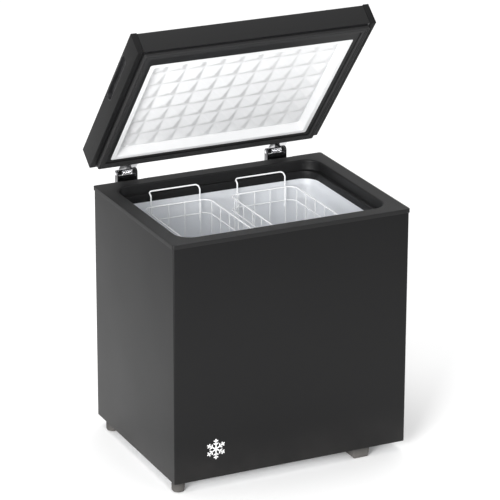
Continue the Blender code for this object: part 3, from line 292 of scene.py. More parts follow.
def dust_group():
    """A thin film of dust that thickens towards the floor."""
    tree, add, source, sink = group_tree(
        "floor_dust", "ShaderNodeTree",
        [
            ("Vector", VECTOR, None), ("Colour", COLOUR, (0.1, 0.1, 0.1, 1.0)),
            ("Roughness", FLOAT, 0.5), ("Top", FLOAT, 0.2), ("Amount", FLOAT, 0.1),
        ],
        [("Colour", COLOUR), ("Roughness", FLOAT)],
    )
    height = add.add("ShaderNodeSeparateXYZ", {"Vector": source["Vector"]}).outputs["Z"]
    fall = add.out(
        "ShaderNodeMapRange", {"Value": height, 1: 0.0, 2: source["Top"], 3: 1.0, 4: 0.0},
        interpolation_type="SMOOTHSTEP",
    )
    patch = add.noise(source["Vector"], 18.0, 6.0)
    film = add.math("MULTIPLY", add.math("MULTIPLY", fall, patch), source["Amount"])
    mixed = add.add(
        "ShaderNodeMix", {0: film, 6: source["Colour"], 7: (0.30, 0.28, 0.26, 1.0)}, data_type="RGBA",
    ).outputs[2]
    rough = add.math("MULTIPLY_ADD", film, 0.35, source["Roughness"])
    add.feed(sink, Colour=mixed, Roughness=rough)
    return tree


def brushed_group():
    """Fine parallel lines, stretched along one direction."""
    tree, add, source, sink = group_tree(
        "brushed_lines", "ShaderNodeTree",
        [
            ("Vector", VECTOR, None), ("Stretch", VECTOR, (4.0, 900.0, 900.0)),
            ("Roughness", FLOAT, 0.3), ("Spread", FLOAT, 0.1),
        ],
        [("Roughness", FLOAT), ("Height", FLOAT)],
    )
    drawn = add.out(
        "ShaderNodeVectorMath", {0: source["Vector"], 1: source["Stretch"]}, operation="MULTIPLY",
    )
    lines = add.noise(drawn, 1.0, 2.0)
    swing = add.math("MULTIPLY_ADD", lines, 2.0, -1.0)
    rough = add.math("MULTIPLY_ADD", swing, source["Spread"], source["Roughness"])
    add.feed(sink, Roughness=rough, Height=lines)
    return tree


def frost_group():
    """Pale frost that gathers in patches, as a mask."""
    tree, add, source, sink = group_tree(
        "frost_patches", "ShaderNodeTree",
        [("Vector", VECTOR, None), ("Scale", FLOAT, 14.0), ("Amount", FLOAT, 0.3)],
        [("Mask", FLOAT), ("Height", FLOAT)],
    )
    patch = add.noise(source["Vector"], source["Scale"], 8.0)
    crystal = add.out("ShaderNodeTexVoronoi", {"Vector": source["Vector"], "Scale": 700.0})
    mask = add.out(
        "ShaderNodeMapRange", {"Value": patch, 1: 0.45, 2: 0.75, 3: 0.0, 4: source["Amount"]},
    )
    add.feed(sink, Mask=mask, Height=add.math("MULTIPLY", mask, crystal))
    return tree


# Finish: colour, roughness, metallic, grain per metre, grain depth, cloud per metre,
# colour spread, roughness spread, and the shader's own sockets.
RECIPES = {
    "black_enamel": ("enamel", 0.40, 0.0, 750, 0.030, 4, 0.10, 0.05, {"Specular IOR Level": 0.20}),
    "black_plastic": ("plastic", 0.50, 0.0, 1500, 0.060, 6, 0.12, 0.05, {"Specular IOR Level": 0.22}),
    # The lid's end caps: the black plastic with weaker specular, a painted shade that darkens the caps for the
    # darker surroundings they reflect.
    "shaded_cap_plastic": ("plastic", 0.50, 0.0, 1500, 0.060, 6, 0.12, 0.05, {"Specular IOR Level": 0.08}),
    "dark_plastic": ((0.010, 0.010, 0.011), 0.34, 0.0, 1500, 0.040, 9, 0.15, 0.06, {}),
    "seal_rubber": ("rubber", 0.62, 0.0, 2200, 0.050, 12, 0.12, 0.06, {"Specular IOR Level": 0.32}),
    "white_plastic": ("liner", 0.32, 0.0, 900, 0.020, 8, 0.02, 0.05, {"Coat Weight": 0.12}),
    "white_wire": ("wire", 0.28, 0.0, 1400, 0.030, 20, 0.03, 0.06, {"Coat Weight": 0.25}),
    "foam": ((0.80, 0.70, 0.42), 0.92, 0.0, 420, 0.600, 9, 0.12, 0.05, {}),
    "copper": ((0.78, 0.37, 0.22), 0.30, 1.0, 500, 0.030, 30, 0.22, 0.12, {}),
    "foot_rubber": ((0.012, 0.012, 0.012), 0.64, 0.0, 1100, 0.080, 30, 0.20, 0.08, {}),
    "print_white": ((0.86, 0.86, 0.86), 0.42, 0.0, 2400, 0.010, 15, 0.03, 0.05, {}),
}
DUSTY = {"black_enamel": (0.16, 0.05), "foot_rubber": (0.05, 0.5), "zinc": (0.08, 0.3)}
BRUSHED = {
    "chrome": ((0.82, 0.82, 0.84), 0.10, (3.0, 500.0, 500.0), 0.05, 0.010),
    "hinge_steel": ((0.10, 0.10, 0.105), 0.26, (5.0, 700.0, 700.0), 0.10, 0.030),
    "zinc": ((0.60, 0.61, 0.62), 0.40, (200.0, 8.0, 200.0), 0.14, 0.040),
}
made_trees = {}
made_finishes = {}


def once(builder):
    """A node tree, built the first time that it is used."""
    if builder not in made_trees:
        made_trees[builder] = builder()
    return made_trees[builder]


def new_material(name):
    """A material's writer, its Principled shader's inputs and the place on the piece."""
    made = made_finishes[name] = bpy.data.materials.new(name)
    made.use_nodes = True
    add = Tree(made.node_tree)
    shader = made.node_tree.nodes["Principled BSDF"].inputs
    return add, shader, add.add("ShaderNodeTexCoord").outputs["Object"]


def group_node(add, builder, inputs):
    """Place a shared group in a material; its outputs."""
    return add.add("ShaderNodeGroup", inputs, node_tree=once(builder)).outputs


def grain(add, place, base, rough, scale, cloud, spread, gloss):
    """Grain and clouds over a plain colour; the outputs."""
    return group_node(
        add, grain_group,
        {
            "Vector": place, "Colour": (*base, 1.0), "Roughness": rough, "Grain": scale,
            "Cloud": cloud, "Colour Spread": spread, "Roughness Spread": gloss,
        },
    )


def brushed(add, place, stretch, rough, spread):
    """Drawn lines; the outputs."""
    return group_node(
        add, brushed_group, {"Vector": place, "Stretch": stretch, "Roughness": rough, "Spread": spread},
    )


def dress(add, shader, tint, rough, height, depth):
    """Feed colour, roughness and a height, depth millimetres deep, into the shader."""
    bump = add.add("ShaderNodeBump", {"Strength": 1.0, "Distance": depth * MM, "Height": height})
    add.feed(shader, Base_Color=tint, Roughness=rough, Normal=bump.outputs["Normal"])


def grained(name):
    """A moulded, sprayed or cast finish."""
    base, rough, metallic, scale, depth, cloud, spread, gloss, sockets = RECIPES[name]
    if isinstance(base, str):
        base = getattr(bpy.context.scene.freezer_colours, base)
    add, shader, place = new_material(name)
    for socket, value in {"Metallic": metallic, **sockets}.items():
        shader[socket].default_value = value
    body = grain(add, place, base, rough, scale, cloud, spread, gloss)
    tint, smooth = body["Colour"], body["Roughness"]
    if name in DUSTY:
        top, amount = DUSTY[name]
        film = group_node(
            add, dust_group,
            {"Vector": place, "Colour": tint, "Roughness": smooth, "Top": top, "Amount": amount},
        )
        tint, smooth = film["Colour"], film["Roughness"]
    dress(add, shader, tint, smooth, body["Height"], depth)


def drawn_metal(name):
    """A bare or plated metal with lines along its drawing direction."""
    base, rough, stretch, spread, depth = BRUSHED[name]
    add, shader, place = new_material(name)
    shader["Metallic"].default_value = 1.0
    lines = brushed(add, place, stretch, rough, spread)
    body = grain(add, place, base, lines["Roughness"], 900.0, 14.0, 0.12, spread / 2)
    dress(add, shader, body["Colour"], body["Roughness"], lines["Height"], depth)


def tub_metal():
    """Rolled aluminium with a soft sheen and a breath of frost."""
    add, shader, place = new_material("aluminium")
    shader["Metallic"].default_value = 0.45
    lines = brushed(add, place, (240.0, 240.0, 3.0), 0.38, 0.05)
    base = bpy.context.scene.freezer_colours.tub
    body = grain(add, place, base, lines["Roughness"], 260.0, 5.0, 0.06, 0.08)
    frost = group_node(add, frost_group, {"Vector": place, "Scale": 11.0, "Amount": 0.5})
    tint = add.add(
        "ShaderNodeMix", {0: frost["Mask"], 6: body["Colour"], 7: (0.90, 0.93, 0.96, 1.0)},
        data_type="RGBA",
    ).outputs[2]
    rough = add.math("MULTIPLY_ADD", frost["Mask"], 0.30, body["Roughness"])
    height = add.math("MULTIPLY_ADD", frost["Height"], 0.6, body["Height"])
    dress(add, shader, tint, rough, height, 0.10)


def lamp_lens():
    """The green lens of the power lamp, faintly lit."""
    add, shader, place = new_material("lamp")
    body = grain(add, place, (0.05, 0.62, 0.16), 0.16, 900.0, 200.0, 0.10, 0.04)
    dress(add, shader, body["Colour"], body["Roughness"], body["Height"], 0.01)
    add.feed(shader, Emission_Color=body["Colour"])
    shader["Emission Strength"].default_value = 0.8
    shader["Coat Weight"].default_value = 0.6


def finish(name):
    """The material of one finish, made once."""
    if name not in made_finishes:
        if name in RECIPES:
            grained(name)
        elif name in BRUSHED:
            drawn_metal(name)
        elif name == "aluminium":
            tub_metal()
        else:
            lamp_lens()
    return made_finishes[name]


# ---------------------------------------------------------------- shapes


def soften(path, cut, steps=4, closed=True):
    """A path of points with each corner rounded off, cut back by cut along both of its edges."""
    points = [Vector(point) for point in path]
    count = len(points)
    result = []
    for index, point in enumerate(points):
        if not closed and index in (0, count - 1):
            result.append(point)
            continue
        before, after = points[index - 1] - point, points[(index + 1) % count] - point
        back = min(cut, 0.45 * before.length, 0.45 * after.length)
        if back < 1e-6:
            result.append(point)
            continue
        start, end = before.normalized() * back, after.normalized() * back
        for step in range(steps + 1):
            share = step / steps
            result.append(point + start * (1 - share) ** 2 + end * share**2)
    return result


def soften_flat(path, cut, steps=4, closed=True):
    """A flat path of pairs with its corners rounded off."""
    return [tuple(point)[:2] for point in soften([(*pair, 0) for pair in path], cut, steps, closed)]


def arc(centre, radius, start, end, steps):
    """Points on an arc, in degrees, both ends included."""
    turns = [math.radians(start + (end - start) * i / steps) for i in range(steps + 1)]
    return [(centre[0] + radius * math.cos(t), centre[1] + radius * math.sin(t)) for t in turns]


def rectangle(low, high, inset, corner, z):
    """A section for loft, in from a box on all four sides."""
    return low.x + inset, high.x - inset, low.y + inset, high.y - inset, corner, z


def outward(shape):
    """Turn every face of a closed body outwards."""
    bmesh.ops.remove_doubles(shape, verts=shape.verts, dist=1e-7)
    bmesh.ops.recalc_face_normals(shape, faces=shape.faces)
    if shape.calc_volume(signed=True) < 0:
        bmesh.ops.reverse_faces(shape, faces=shape.faces)
    return shape


def loft(sections, ring=False, steps=10, capped=True):
    """A body through rounded rectangles (low x, high x, low y, high y, corner, z)."""
    shape = bmesh.new()
    loops = []
    for low_x, high_x, low_y, high_y, corner, height in sections:
        loop = []
        corner = max(corner, 1e-5)
        for quarter, (x, y) in enumerate(
            ((high_x, high_y), (low_x, high_y), (low_x, low_y), (high_x, low_y))
        ):
            centre = (x - corner * (1 if quarter in (0, 3) else -1),
                      y - corner * (1 if quarter in (0, 1) else -1))
            for place in arc(centre, corner, 90 * quarter, 90 * quarter + 90, steps):
                loop.append(shape.verts.new((*place, height)))
        loops.append(loop)
    pairs = list(zip(loops, loops[1:]))
    if ring:
        pairs.append((loops[-1], loops[0]))
    for lower, upper in pairs:
        for i in range(len(lower)):
            shape.faces.new((lower[i - 1], lower[i], upper[i], upper[i - 1]))
    if capped and not ring:
        shape.faces.new(loops[0])
        shape.faces.new(loops[-1])
    return outward(shape) if ring or capped else shape


def block(low, high):
    """A box between two corners."""
    shape = bmesh.new()
    low, high = Vector(low), Vector(high)
    bmesh.ops.create_cube(shape, size=1.0)
    bmesh.ops.scale(shape, vec=high - low, verts=shape.verts)
    bmesh.ops.translate(shape, vec=(low + high) / 2, verts=shape.verts)
    return shape


AXES = {
    "Z": Matrix.Identity(4),
    "X": Matrix(((0, 0, 1, 0), (1, 0, 0, 0), (0, 1, 0, 0), (0, 0, 0, 1))),
    "Y": Matrix(((0, 1, 0, 0), (0, 0, 1, 0), (1, 0, 0, 0), (0, 0, 0, 1))),
}


def lathe(profile, centre, axis="Z", steps=48):
    """A turned body from its profile of (radius, height), along one axis through centre."""
    shape = bmesh.new()
    loops = []
    for radius, height in profile:
        if radius < 1e-6:
            loops.append([shape.verts.new((0, 0, height))])
        else:
            loops.append([
                shape.verts.new((*place, height)) for place in arc((0, 0), radius, 0, 360, steps)[:-1]
            ])
    closed = len(loops[0]) > 1 and len(loops[-1]) > 1
    for lower, upper in list(zip(loops, loops[1:])) + ([(loops[-1], loops[0])] if closed else []):
        for i in range(steps):
            corners = [lower[i - 1 if len(lower) > 1 else 0], lower[i if len(lower) > 1 else 0],
                       upper[i if len(upper) > 1 else 0], upper[i - 1 if len(upper) > 1 else 0]]
            corners = list(dict.fromkeys(corners))
            if len(corners) > 2:
                shape.faces.new(corners)
    bmesh.ops.transform(shape, matrix=Matrix.Translation(centre) @ AXES[axis], verts=shape.verts)
    return outward(shape)


def profile(points, base=0.0):
    """Points for lathe in metres, from (radius, height over base) in millimetres."""
    return [(radius * MM, base + height * MM) for radius, height in points]


def rod(radius, half, centre, axis="Z", steps=48):
    """A plain round bar that reaches half its length to each side of centre."""
    return lathe([(0, -half), (radius, -half), (radius, half), (0, half)], centre, axis, steps)


def prism(near, far):
    """A body between two equal outlines."""
    shape = bmesh.new()
    near = [shape.verts.new(place) for place in near]
    far = [shape.verts.new(place) for place in far]
    shape.faces.new(near)
    shape.faces.new(far)
    for i in range(len(near)):
        shape.faces.new((near[i - 1], near[i], far[i], far[i - 1]))
    return outward(shape)


def plate(outline, one_x, other_x):
    """A flat outline of (y, z) points, thick from one x to the other."""
    low_x, high_x = sorted((one_x, other_x))
    return prism([(low_x, y, z) for y, z in outline], [(high_x, y, z) for y, z in outline])


def editable(mesh):
    """A mesh as a bmesh."""
    shape = bmesh.new()
    shape.from_mesh(mesh)
    return shape


def temporary(shape):
    """An object that holds a bmesh until it is evaluated."""
    data = bpy.data.meshes.new("work")
    shape.to_mesh(data)
    shape.free()
    item = bpy.data.objects.new("work", data)
    bpy.context.scene.collection.objects.link(item)
    return item


def evaluated_mesh(item, helpers=()):
    """The mesh of an object with its modifiers applied; the object and its helpers are removed."""
    result = bpy.data.meshes.new_from_object(
        item.evaluated_get(bpy.context.evaluated_depsgraph_get())
    )
    for used in (item, *helpers):
        bpy.data.objects.remove(used, do_unlink=True)
    return result


def walled(shape, sheet):
    """A surface given a thickness, as a mesh."""
    item = temporary(shape)
    wall = item.modifiers.new("sheet", "SOLIDIFY")
    wall.thickness, wall.offset = sheet, -1.0
    return evaluated_mesh(item)


def carved(shape, cuts=(), joins=(), bevel=0.0, segments=2, angle=30):
    """A body after unions, cuts and rounded edges, as a mesh."""
    item = temporary(shape)
    helpers = []
    for operation, others in (("UNION", joins), ("DIFFERENCE", cuts)):
        for other in others:
            helper = temporary(other)
            helpers.append(helper)
            change = item.modifiers.new("change", "BOOLEAN")
            change.object, change.operation, change.solver = helper, operation, "EXACT"
    if bevel:
        rounding = item.modifiers.new("rounding", "BEVEL")
        rounding.width, rounding.segments = bevel, segments
        rounding.limit_method, rounding.angle_limit = "ANGLE", math.radians(angle)
        rounding.miter_outer = "MITER_ARC"
    return evaluated_mesh(item, helpers)


def piece(name, mesh, finish_name, body, replaces=(), matrix=None, sharp=40):
    """A finished piece that rides on a body and stands for some nodes."""
    if isinstance(mesh, bmesh.types.BMesh):
        data = bpy.data.meshes.new(name)
        mesh.to_mesh(data)
        mesh.free()
        mesh = data
    mesh.name = name
    if matrix is not None:
        mesh.transform(matrix)
    mesh.shade_smooth()
    mesh.set_sharp_from_angle(angle=math.radians(sharp))
    mesh.materials.clear()
    mesh.materials.append(finish(finish_name))
    item = bpy.data.objects.new(name, mesh)
    bpy.context.scene.collection.objects.link(item)
    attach(item, body)
    if replaces:
        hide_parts(*replaces)
    return item


def lid_piece(name, mesh, finish_name, replaces=(), sharp=40):
    """A finished piece of the lid, written shut and opened."""
    return piece(name, mesh, finish_name, "lid", replaces, matrix=OPENING, sharp=sharp)


def keep(*nodes):
    """Give nodes whose shape is right the full finish of their slot."""
    slots = {part["node"]: part["material_slot"] for part in frame["record"]["subparts"]}
    for node in nodes:
        materials = NODES[node].data.materials
        for index in range(len(materials)):
            materials[index] = finish(slots[node])
        if not materials:
            materials.append(finish(slots[node]))


# ---------------------------------------------------------------- repeated shapes


def geometry_tree(name, inputs):
    """A Geometry Nodes tree that ends in real geometry with one material."""
    tree, add, source, sink = group_tree(
        name, "GeometryNodeTree",
        [("Geometry", GEOMETRY, None), *inputs, ("Material", MATERIAL, None)],
        [("Geometry", GEOMETRY)],
    )

    def end(geometry):
        """Finish the tree."""
        real = add.out("GeometryNodeRealizeInstances", {"Geometry": geometry})
        shown = add.out("GeometryNodeSetMaterial", {"Geometry": real, "Material": source["Material"]})
        add.feed(sink, Geometry=shown)
        return tree

    return add, source, end


def grown(builder, finish_name, mesh=None, **values):
    """Run a Geometry Nodes tree on a mesh and return the result as a plain mesh."""
    tree = once(builder)
    item = bpy.data.objects.new("work", mesh or points_mesh([(0, 0, 0)]))
    bpy.context.scene.collection.objects.link(item)
    change = item.modifiers.new("tree", "NODES")
    change.node_group = tree
    sockets = {
        socket.name: socket.identifier
        for socket in tree.interface.items_tree
        if socket.item_type == "SOCKET" and socket.in_out == "INPUT"
    }
    values["Material"] = finish(finish_name)
    for label, value in values.items():
        change[sockets[label.replace("_", " ")]] = value
    return evaluated_mesh(item)


def points_mesh(places, edges=(), faces=(), **attributes):
    """A mesh with a vector or a number stored on each point."""
    mesh = bpy.data.meshes.new("points")
    mesh.from_pydata([tuple(place) for place in places], list(edges), list(faces))
    for name, values in attributes.items():
        if isinstance(values[0], (int, float)):
            made = mesh.attributes.new(name, "FLOAT", "POINT")
            made.data.foreach_set("value", [float(value) for value in values])
        else:
            made = mesh.attributes.new(name, "FLOAT_VECTOR", "POINT")
            made.data.foreach_set("vector", [float(number) for value in values for number in value])
    return mesh


def wires_mesh(paths):
    """Centre lines (points, radius, bend, closed) as edges, with each wire's radius and bend."""
    places, edges, radii, bends = [], [], [], []
    for points, radius, bend, closed in paths:
        first = len(places)
        places += [tuple(point) for point in points]
        edges += [(first + i, first + i + 1) for i in range(len(points) - 1)]
        if closed:
            edges.append((first + len(points) - 1, first))
        radii += [radius] * len(points)
        bends += list(bend) if isinstance(bend, (list, tuple)) else [bend] * len(points)
    return points_mesh(places, edges, wire=radii, bend=bends)


def wires(paths, finish_name, sides, bend_steps=1):
    """Round wires along centre lines, as one mesh."""
    return grown(wire_tree, finish_name, wires_mesh(paths), Sides=sides, Bend_Steps=bend_steps)


def wire_tree():
    """Round wire along edges, bent at their corners."""
    add, source, end = geometry_tree(
        "bent_wire", [("Sides", INTEGER, 12), ("Bend Steps", INTEGER, 6)],
    )
    line = add.out("GeometryNodeMeshToCurve", {"Mesh": source["Geometry"]})
    bent = add.out(
        "GeometryNodeFilletCurve",
        {"Curve": line, "Count": source["Bend Steps"], "Radius": add.stored("bend"), "Limit Radius": True},
        mode="POLY",
    )
    circle = add.out(
        "GeometryNodeCurvePrimitiveCircle", {"Resolution": source["Sides"], "Radius": 1.0},
        mode="RADIUS",
    )
    skin = add.out(
        "GeometryNodeCurveToMesh",
        {"Curve": bent, "Profile Curve": circle, "Scale": add.stored("wire"), "Fill Caps": True},
    )
    smooth = add.out("GeometryNodeSetShadeSmooth", {0: skin})
    return end(smooth)


def screw_tree():
    """Domed screw heads with a crossed recess, one on each point, facing along its normal."""
    add, source, end = geometry_tree(
        "screw_heads",
        [("Head Radius", FLOAT, 4.5 * MM), ("Head Height", FLOAT, 2.2 * MM), ("Recess", FLOAT, 0.26)],
    )
    ball = add.out("GeometryNodeMeshUVSphere", {"Segments": 20, "Rings": 10, "Radius": 1.0})
    size = add.vector(source["Head Radius"], source["Head Radius"], source["Head Height"])
    head = add.out("GeometryNodeTransform", {"Geometry": ball, "Scale": size})
    reach = add.math("MULTIPLY", source["Head Radius"], 1.15)
    wide = add.math("MULTIPLY", source["Head Radius"], source["Recess"])
    raised = add.vector(z=source["Head Height"])
    for across, along in ((reach, wide), (wide, reach)):
        size = add.vector(across, along, source["Head Height"])
        bar = add.out("GeometryNodeMeshCube", {"Size": size})
        bar = add.out("GeometryNodeTransform", {"Geometry": bar, "Translation": raised})
        head = add.out("GeometryNodeMeshBoolean", {"Mesh 1": head, "Mesh 2": bar}, solver="EXACT")
    facing = add.stored("facing", "FLOAT_VECTOR")
    turn = add.out("FunctionNodeAlignRotationToVector", {"Vector": facing}, axis="Z")
    set_heads = add.out(
        "GeometryNodeInstanceOnPoints",
        {"Points": source["Geometry"], "Instance": head, "Rotation": turn},
    )
    return end(set_heads)


def slat_tree():
    """Rounded louvre slats in a row, all with the same tilt."""
    add, source, end = geometry_tree(
        "louvre_slats",
        [
            ("Count", INTEGER, 9), ("Start", VECTOR, (0, 0, 0)), ("Pitch", FLOAT, 16 * MM),
            ("Length", FLOAT, 0.15), ("Width", FLOAT, 14 * MM), ("Thickness", FLOAT, 1.6 * MM),
            ("Tilt", FLOAT, 0.7),
        ],
    )
    step = add.vector(z=source["Pitch"])
    row = add.out(
        "GeometryNodeMeshLine",
        {"Count": source["Count"], "Start Location": source["Start"], "Offset": step},
        mode="OFFSET",
    )
    half = add.math("MULTIPLY", source["Length"], 0.5)
    run = add.out(
        "GeometryNodeCurvePrimitiveLine",
        {"Start": add.vector(y=add.math("MULTIPLY", half, -1.0)), "End": add.vector(y=half)},
        mode="POINTS",
    )
    flat = add.out(
        "GeometryNodeCurvePrimitiveQuadrilateral",
        {"Width": source["Width"], "Height": source["Thickness"]},
        mode="RECTANGLE",
    )
    section = add.out(
        "GeometryNodeFilletCurve",
        {"Curve": flat, "Count": 3, "Radius": add.math("MULTIPLY", source["Thickness"], 0.45)},
        mode="POLY",
    )
    slat = add.out(
        "GeometryNodeCurveToMesh", {"Curve": run, "Profile Curve": section, "Fill Caps": True},
    )
    spin = add.out("FunctionNodeEulerToRotation", {0: add.vector(y=source["Tilt"])})
    set_row = add.out(
        "GeometryNodeInstanceOnPoints", {"Points": row, "Instance": slat, "Rotation": spin},
    )
    return end(set_row)


def quilt_tree():
    """A sheet pressed into rows of off-centre pyramids with soft ridges."""
    add, source, end = geometry_tree(
        "quilted_field",
        [
            ("Columns", FLOAT, 10.0), ("Rows", FLOAT, 7.0), ("Height", FLOAT, 6 * MM),
            ("Peak X", FLOAT, 0.7), ("Peak Y", FLOAT, 0.65), ("Softness", FLOAT, 0.12),
        ],
    )

    def slopes(share, count, peak):
        """The rising and the falling side of one cell, each 0 at its seam and 1 at the peak."""
        place = add.math("FRACT", add.math("MULTIPLY", share, count))
        rise = add.math("DIVIDE", place, peak)
        fall = add.math("DIVIDE", add.math("SUBTRACT", 1.0, place), add.math("SUBTRACT", 1.0, peak))
        return rise, fall

    sides = (
        *slopes(add.stored("across"), source["Columns"], source["Peak X"]),
        *slopes(add.stored("along"), source["Rows"], source["Peak Y"]),
    )
    level = sides[0]
    for side in sides[1:]:
        level = add.math("SMOOTH_MIN", level, side, source["Softness"])
    lift = add.math("MULTIPLY", add.math("MAXIMUM", level, 0.0), source["Height"])
    offset = add.vector(z=add.math("MULTIPLY", lift, -1.0))
    pressed = add.out("GeometryNodeSetPosition", {"Geometry": source["Geometry"], "Offset": offset})
    smooth = add.out("GeometryNodeSetShadeSmooth", {0: pressed})
    return end(smooth)


def rib_tree():
    """Small upright ribs in a ring, as on a knob or a cap."""
    add, source, end = geometry_tree(
        "ribbed_ring",
        [
            ("Count", INTEGER, 24), ("Ring Radius", FLOAT, 15 * MM), ("Rib Radius", FLOAT, 1 * MM),
            ("Rib Length", FLOAT, 8 * MM),
        ],
    )
    ring = add.out(
        "GeometryNodeMeshCircle", {"Vertices": source["Count"], "Radius": source["Ring Radius"]},
    )
    rib = add.out(
        "GeometryNodeMeshCylinder",
        {"Vertices": 10, "Radius": source["Rib Radius"], "Depth": source["Rib Length"]},
    )
    set_ring = add.out("GeometryNodeInstanceOnPoints", {"Points": ring, "Instance": rib})
    return end(set_ring)


def flake_tree():
    """Six equal arms round a centre, each the given arm."""
    add, source, end = geometry_tree("six_arms", [("Arms", INTEGER, 6)])
    spots = add.out(
        "GeometryNodeMeshLine", {"Count": source["Arms"], "Offset": (0, 0, 0)}, mode="OFFSET",
    )
    index = add.out("GeometryNodeInputIndex")
    angle = add.math("MULTIPLY", add.math("DIVIDE", index, source["Arms"]), 2 * math.pi)
    spin = add.out("FunctionNodeEulerToRotation", {0: add.vector(z=angle)})
    set_arms = add.out(
        "GeometryNodeInstanceOnPoints",
        {"Points": spots, "Instance": source["Geometry"], "Rotation": spin},
    )
    return end(set_arms)


# ---------------------------------------------------------------- cabinet


def cabinet_frame():
    """Middle of the cabinet, half its width and depth over the rim, its bottom and its top."""
    low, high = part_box("rim_collar")
    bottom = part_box("outer_shell")[0].z
    return (low.y + high.y) / 2, (high.x - low.x) / 2, (high.y - low.y) / 2, bottom, high.z


class FREEZER_OT_shell(bpy.types.Operator):
    """Wrap the cabinet in its folded sheet"""

    bl_idname = "freezer.shell"
    bl_label = "Cabinet Shell"

    def execute(self, context):
        sizes = context.scene.freezer_cabinet
        low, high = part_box("outer_shell")
        sheet, bend = sizes.sheet, sizes.bend
        path = soften_flat([(0, low.z), (0, high.z), (sheet, high.z), (sheet, low.z)], 0.35 * MM, 2)
        sections = [rectangle(low, high, inset, bend - inset, z) for inset, z in path]
        hem = 12 * MM
        grille_low, grille_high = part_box("compressor_grille")
        inset = 8 * MM
        cuts = [
            block((low.x + hem, high.y - 50 * MM, low.z - 10 * MM), (high.x - hem, high.y + hem, 1.0)),
            block((high.x - 20 * MM, grille_low.y + inset, grille_low.z + inset),
                  (high.x + 20 * MM, grille_high.y - inset, grille_high.z - inset)),
        ]
        shell = carved(loft(sections, ring=True), cuts)
        piece("cabinet_shell", shell, "black_enamel", "cabinet", ("outer_shell",), sharp=30)
        return {"FINISHED"}


def collar_sections(sizes):
    """The collar's section, as rounded rectangles round the cabinet's middle."""
    middle, half_x, half_y, _, top = cabinet_frame()
    wall, edge, width = sizes.rim_wall, sizes.rim_edge, sizes.rim_width
    lip = 2.2 * MM
    outer = sizes.bend + 2.5 * MM
    ledge, foot = top - sizes.ledge_drop, top - sizes.band_depth
    band = width + sizes.ledge_width
    band_corner = sizes.tub_corner - wall - CLEAR
    mouth = sizes.rim_corner
    shell_corner = sizes.bend + CLEAR
    path = [
        (0, top - sizes.rim_lip, outer), (0, top, outer), (6 * MM, top, outer),
        (width - edge, top, mouth + edge),
    ]
    for turn in (30, 60, 90):
        lean = math.radians(turn)
        inset = edge * (1 - math.sin(lean))
        path.append((width - inset, top - edge * (1 - math.cos(lean)), mouth + inset))
    path += [
        (width, ledge, mouth), (band, ledge, band_corner), (band, foot, band_corner),
        (band - wall, foot, band_corner + wall), (band - wall, ledge - wall, band_corner + wall),
        (width - wall, ledge - wall, mouth + wall), (width - wall, top - wall - edge / 2, mouth + wall),
        (width - edge, top - wall, mouth + edge), (lip, top - wall, shell_corner),
        (lip, top - sizes.rim_lip, shell_corner),
    ]
    return [
        (-half_x + d, half_x - d, middle - half_y + d, middle + half_y - d, corner, z)
        for d, z, corner in soften(path, 1.1 * MM, 3)
    ]


class FREEZER_OT_collar(bpy.types.Operator):
    """Mould the collar round the mouth, with its basket ledge"""

    bl_idname = "freezer.collar"
    bl_label = "Mouth Collar"

    def execute(self, context):
        sizes = context.scene.freezer_cabinet
        shape = loft(collar_sections(sizes), ring=True, steps=14)
        shell_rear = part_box("outer_shell")[1].y
        cuts = []
        for side, _ in SIDES:
            low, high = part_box(f"hinge_bracket_{side}")
            cuts.append(block((low.x - MM, shell_rear, 0.6), (high.x + MM, shell_rear + 20 * MM, 0.9)))
        piece(
            "mouth_collar", carved(shape, cuts), "black_plastic", "cabinet", ("rim_collar",), sharp=32,
        )
        return {"FINISHED"}


class FREEZER_OT_tub(bpy.types.Operator):
    """Press the metal tub, with its step over the compressor"""

    bl_idname = "freezer.tub"
    bl_label = "Tub"

    def execute(self, context):
        sizes = context.scene.freezer_cabinet
        low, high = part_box("inner_liner")
        bottom = cabinet_frame()[3]
        sheet, corner, edge = sizes.sheet, sizes.tub_corner, sizes.tub_edge
        left, right = low.x + sheet, high.x - sheet
        front, rear = low.y + sheet, high.y - sheet
        floor = low.z + sheet
        above = high.z + 20 * MM
        upper = loft([
            (left, right, front, rear, corner, bottom + sizes.step_height),
            (left, right, front, rear, corner, above),
        ])
        step = right - sizes.step_width
        lower = loft([
            (left + edge, step - edge, front + edge, rear - edge, corner - edge, floor),
            (left, step, front, rear, corner, floor + edge),
            (left, step, front, rear, corner, (bottom + sizes.step_height + above) / 2),
        ])
        space = carved(upper, joins=[lower], bevel=5 * MM, segments=4, angle=25)
        shape = editable(space)
        bmesh.ops.remove_doubles(shape, verts=shape.verts, dist=1e-5)
        bmesh.ops.bisect_plane(
            shape, geom=[*shape.verts, *shape.edges, *shape.faces], plane_co=(0, 0, high.z),
            plane_no=(0, 0, 1), clear_outer=True,
        )
        bmesh.ops.reverse_faces(shape, faces=shape.faces)
        shell = walled(shape, sheet)
        x, y, _ = middle_of(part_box("drain_pipe"))
        shell = carved(editable(shell), [rod(10 * MM, 20 * MM, (x, y, floor))])
        piece("tub_liner", shell, "aluminium", "cabinet", ("inner_liner",), sharp=50)
        return {"FINISHED"}


BEAD_PLACES = (-0.30, -0.10, 0.10)
BEAD_DROPS = (0.16, 0.62)
LOUVRE_LEFT, LOUVRE_MARGIN, LOUVRE_LIFT = 0.1750, 0.0393, 0.0780


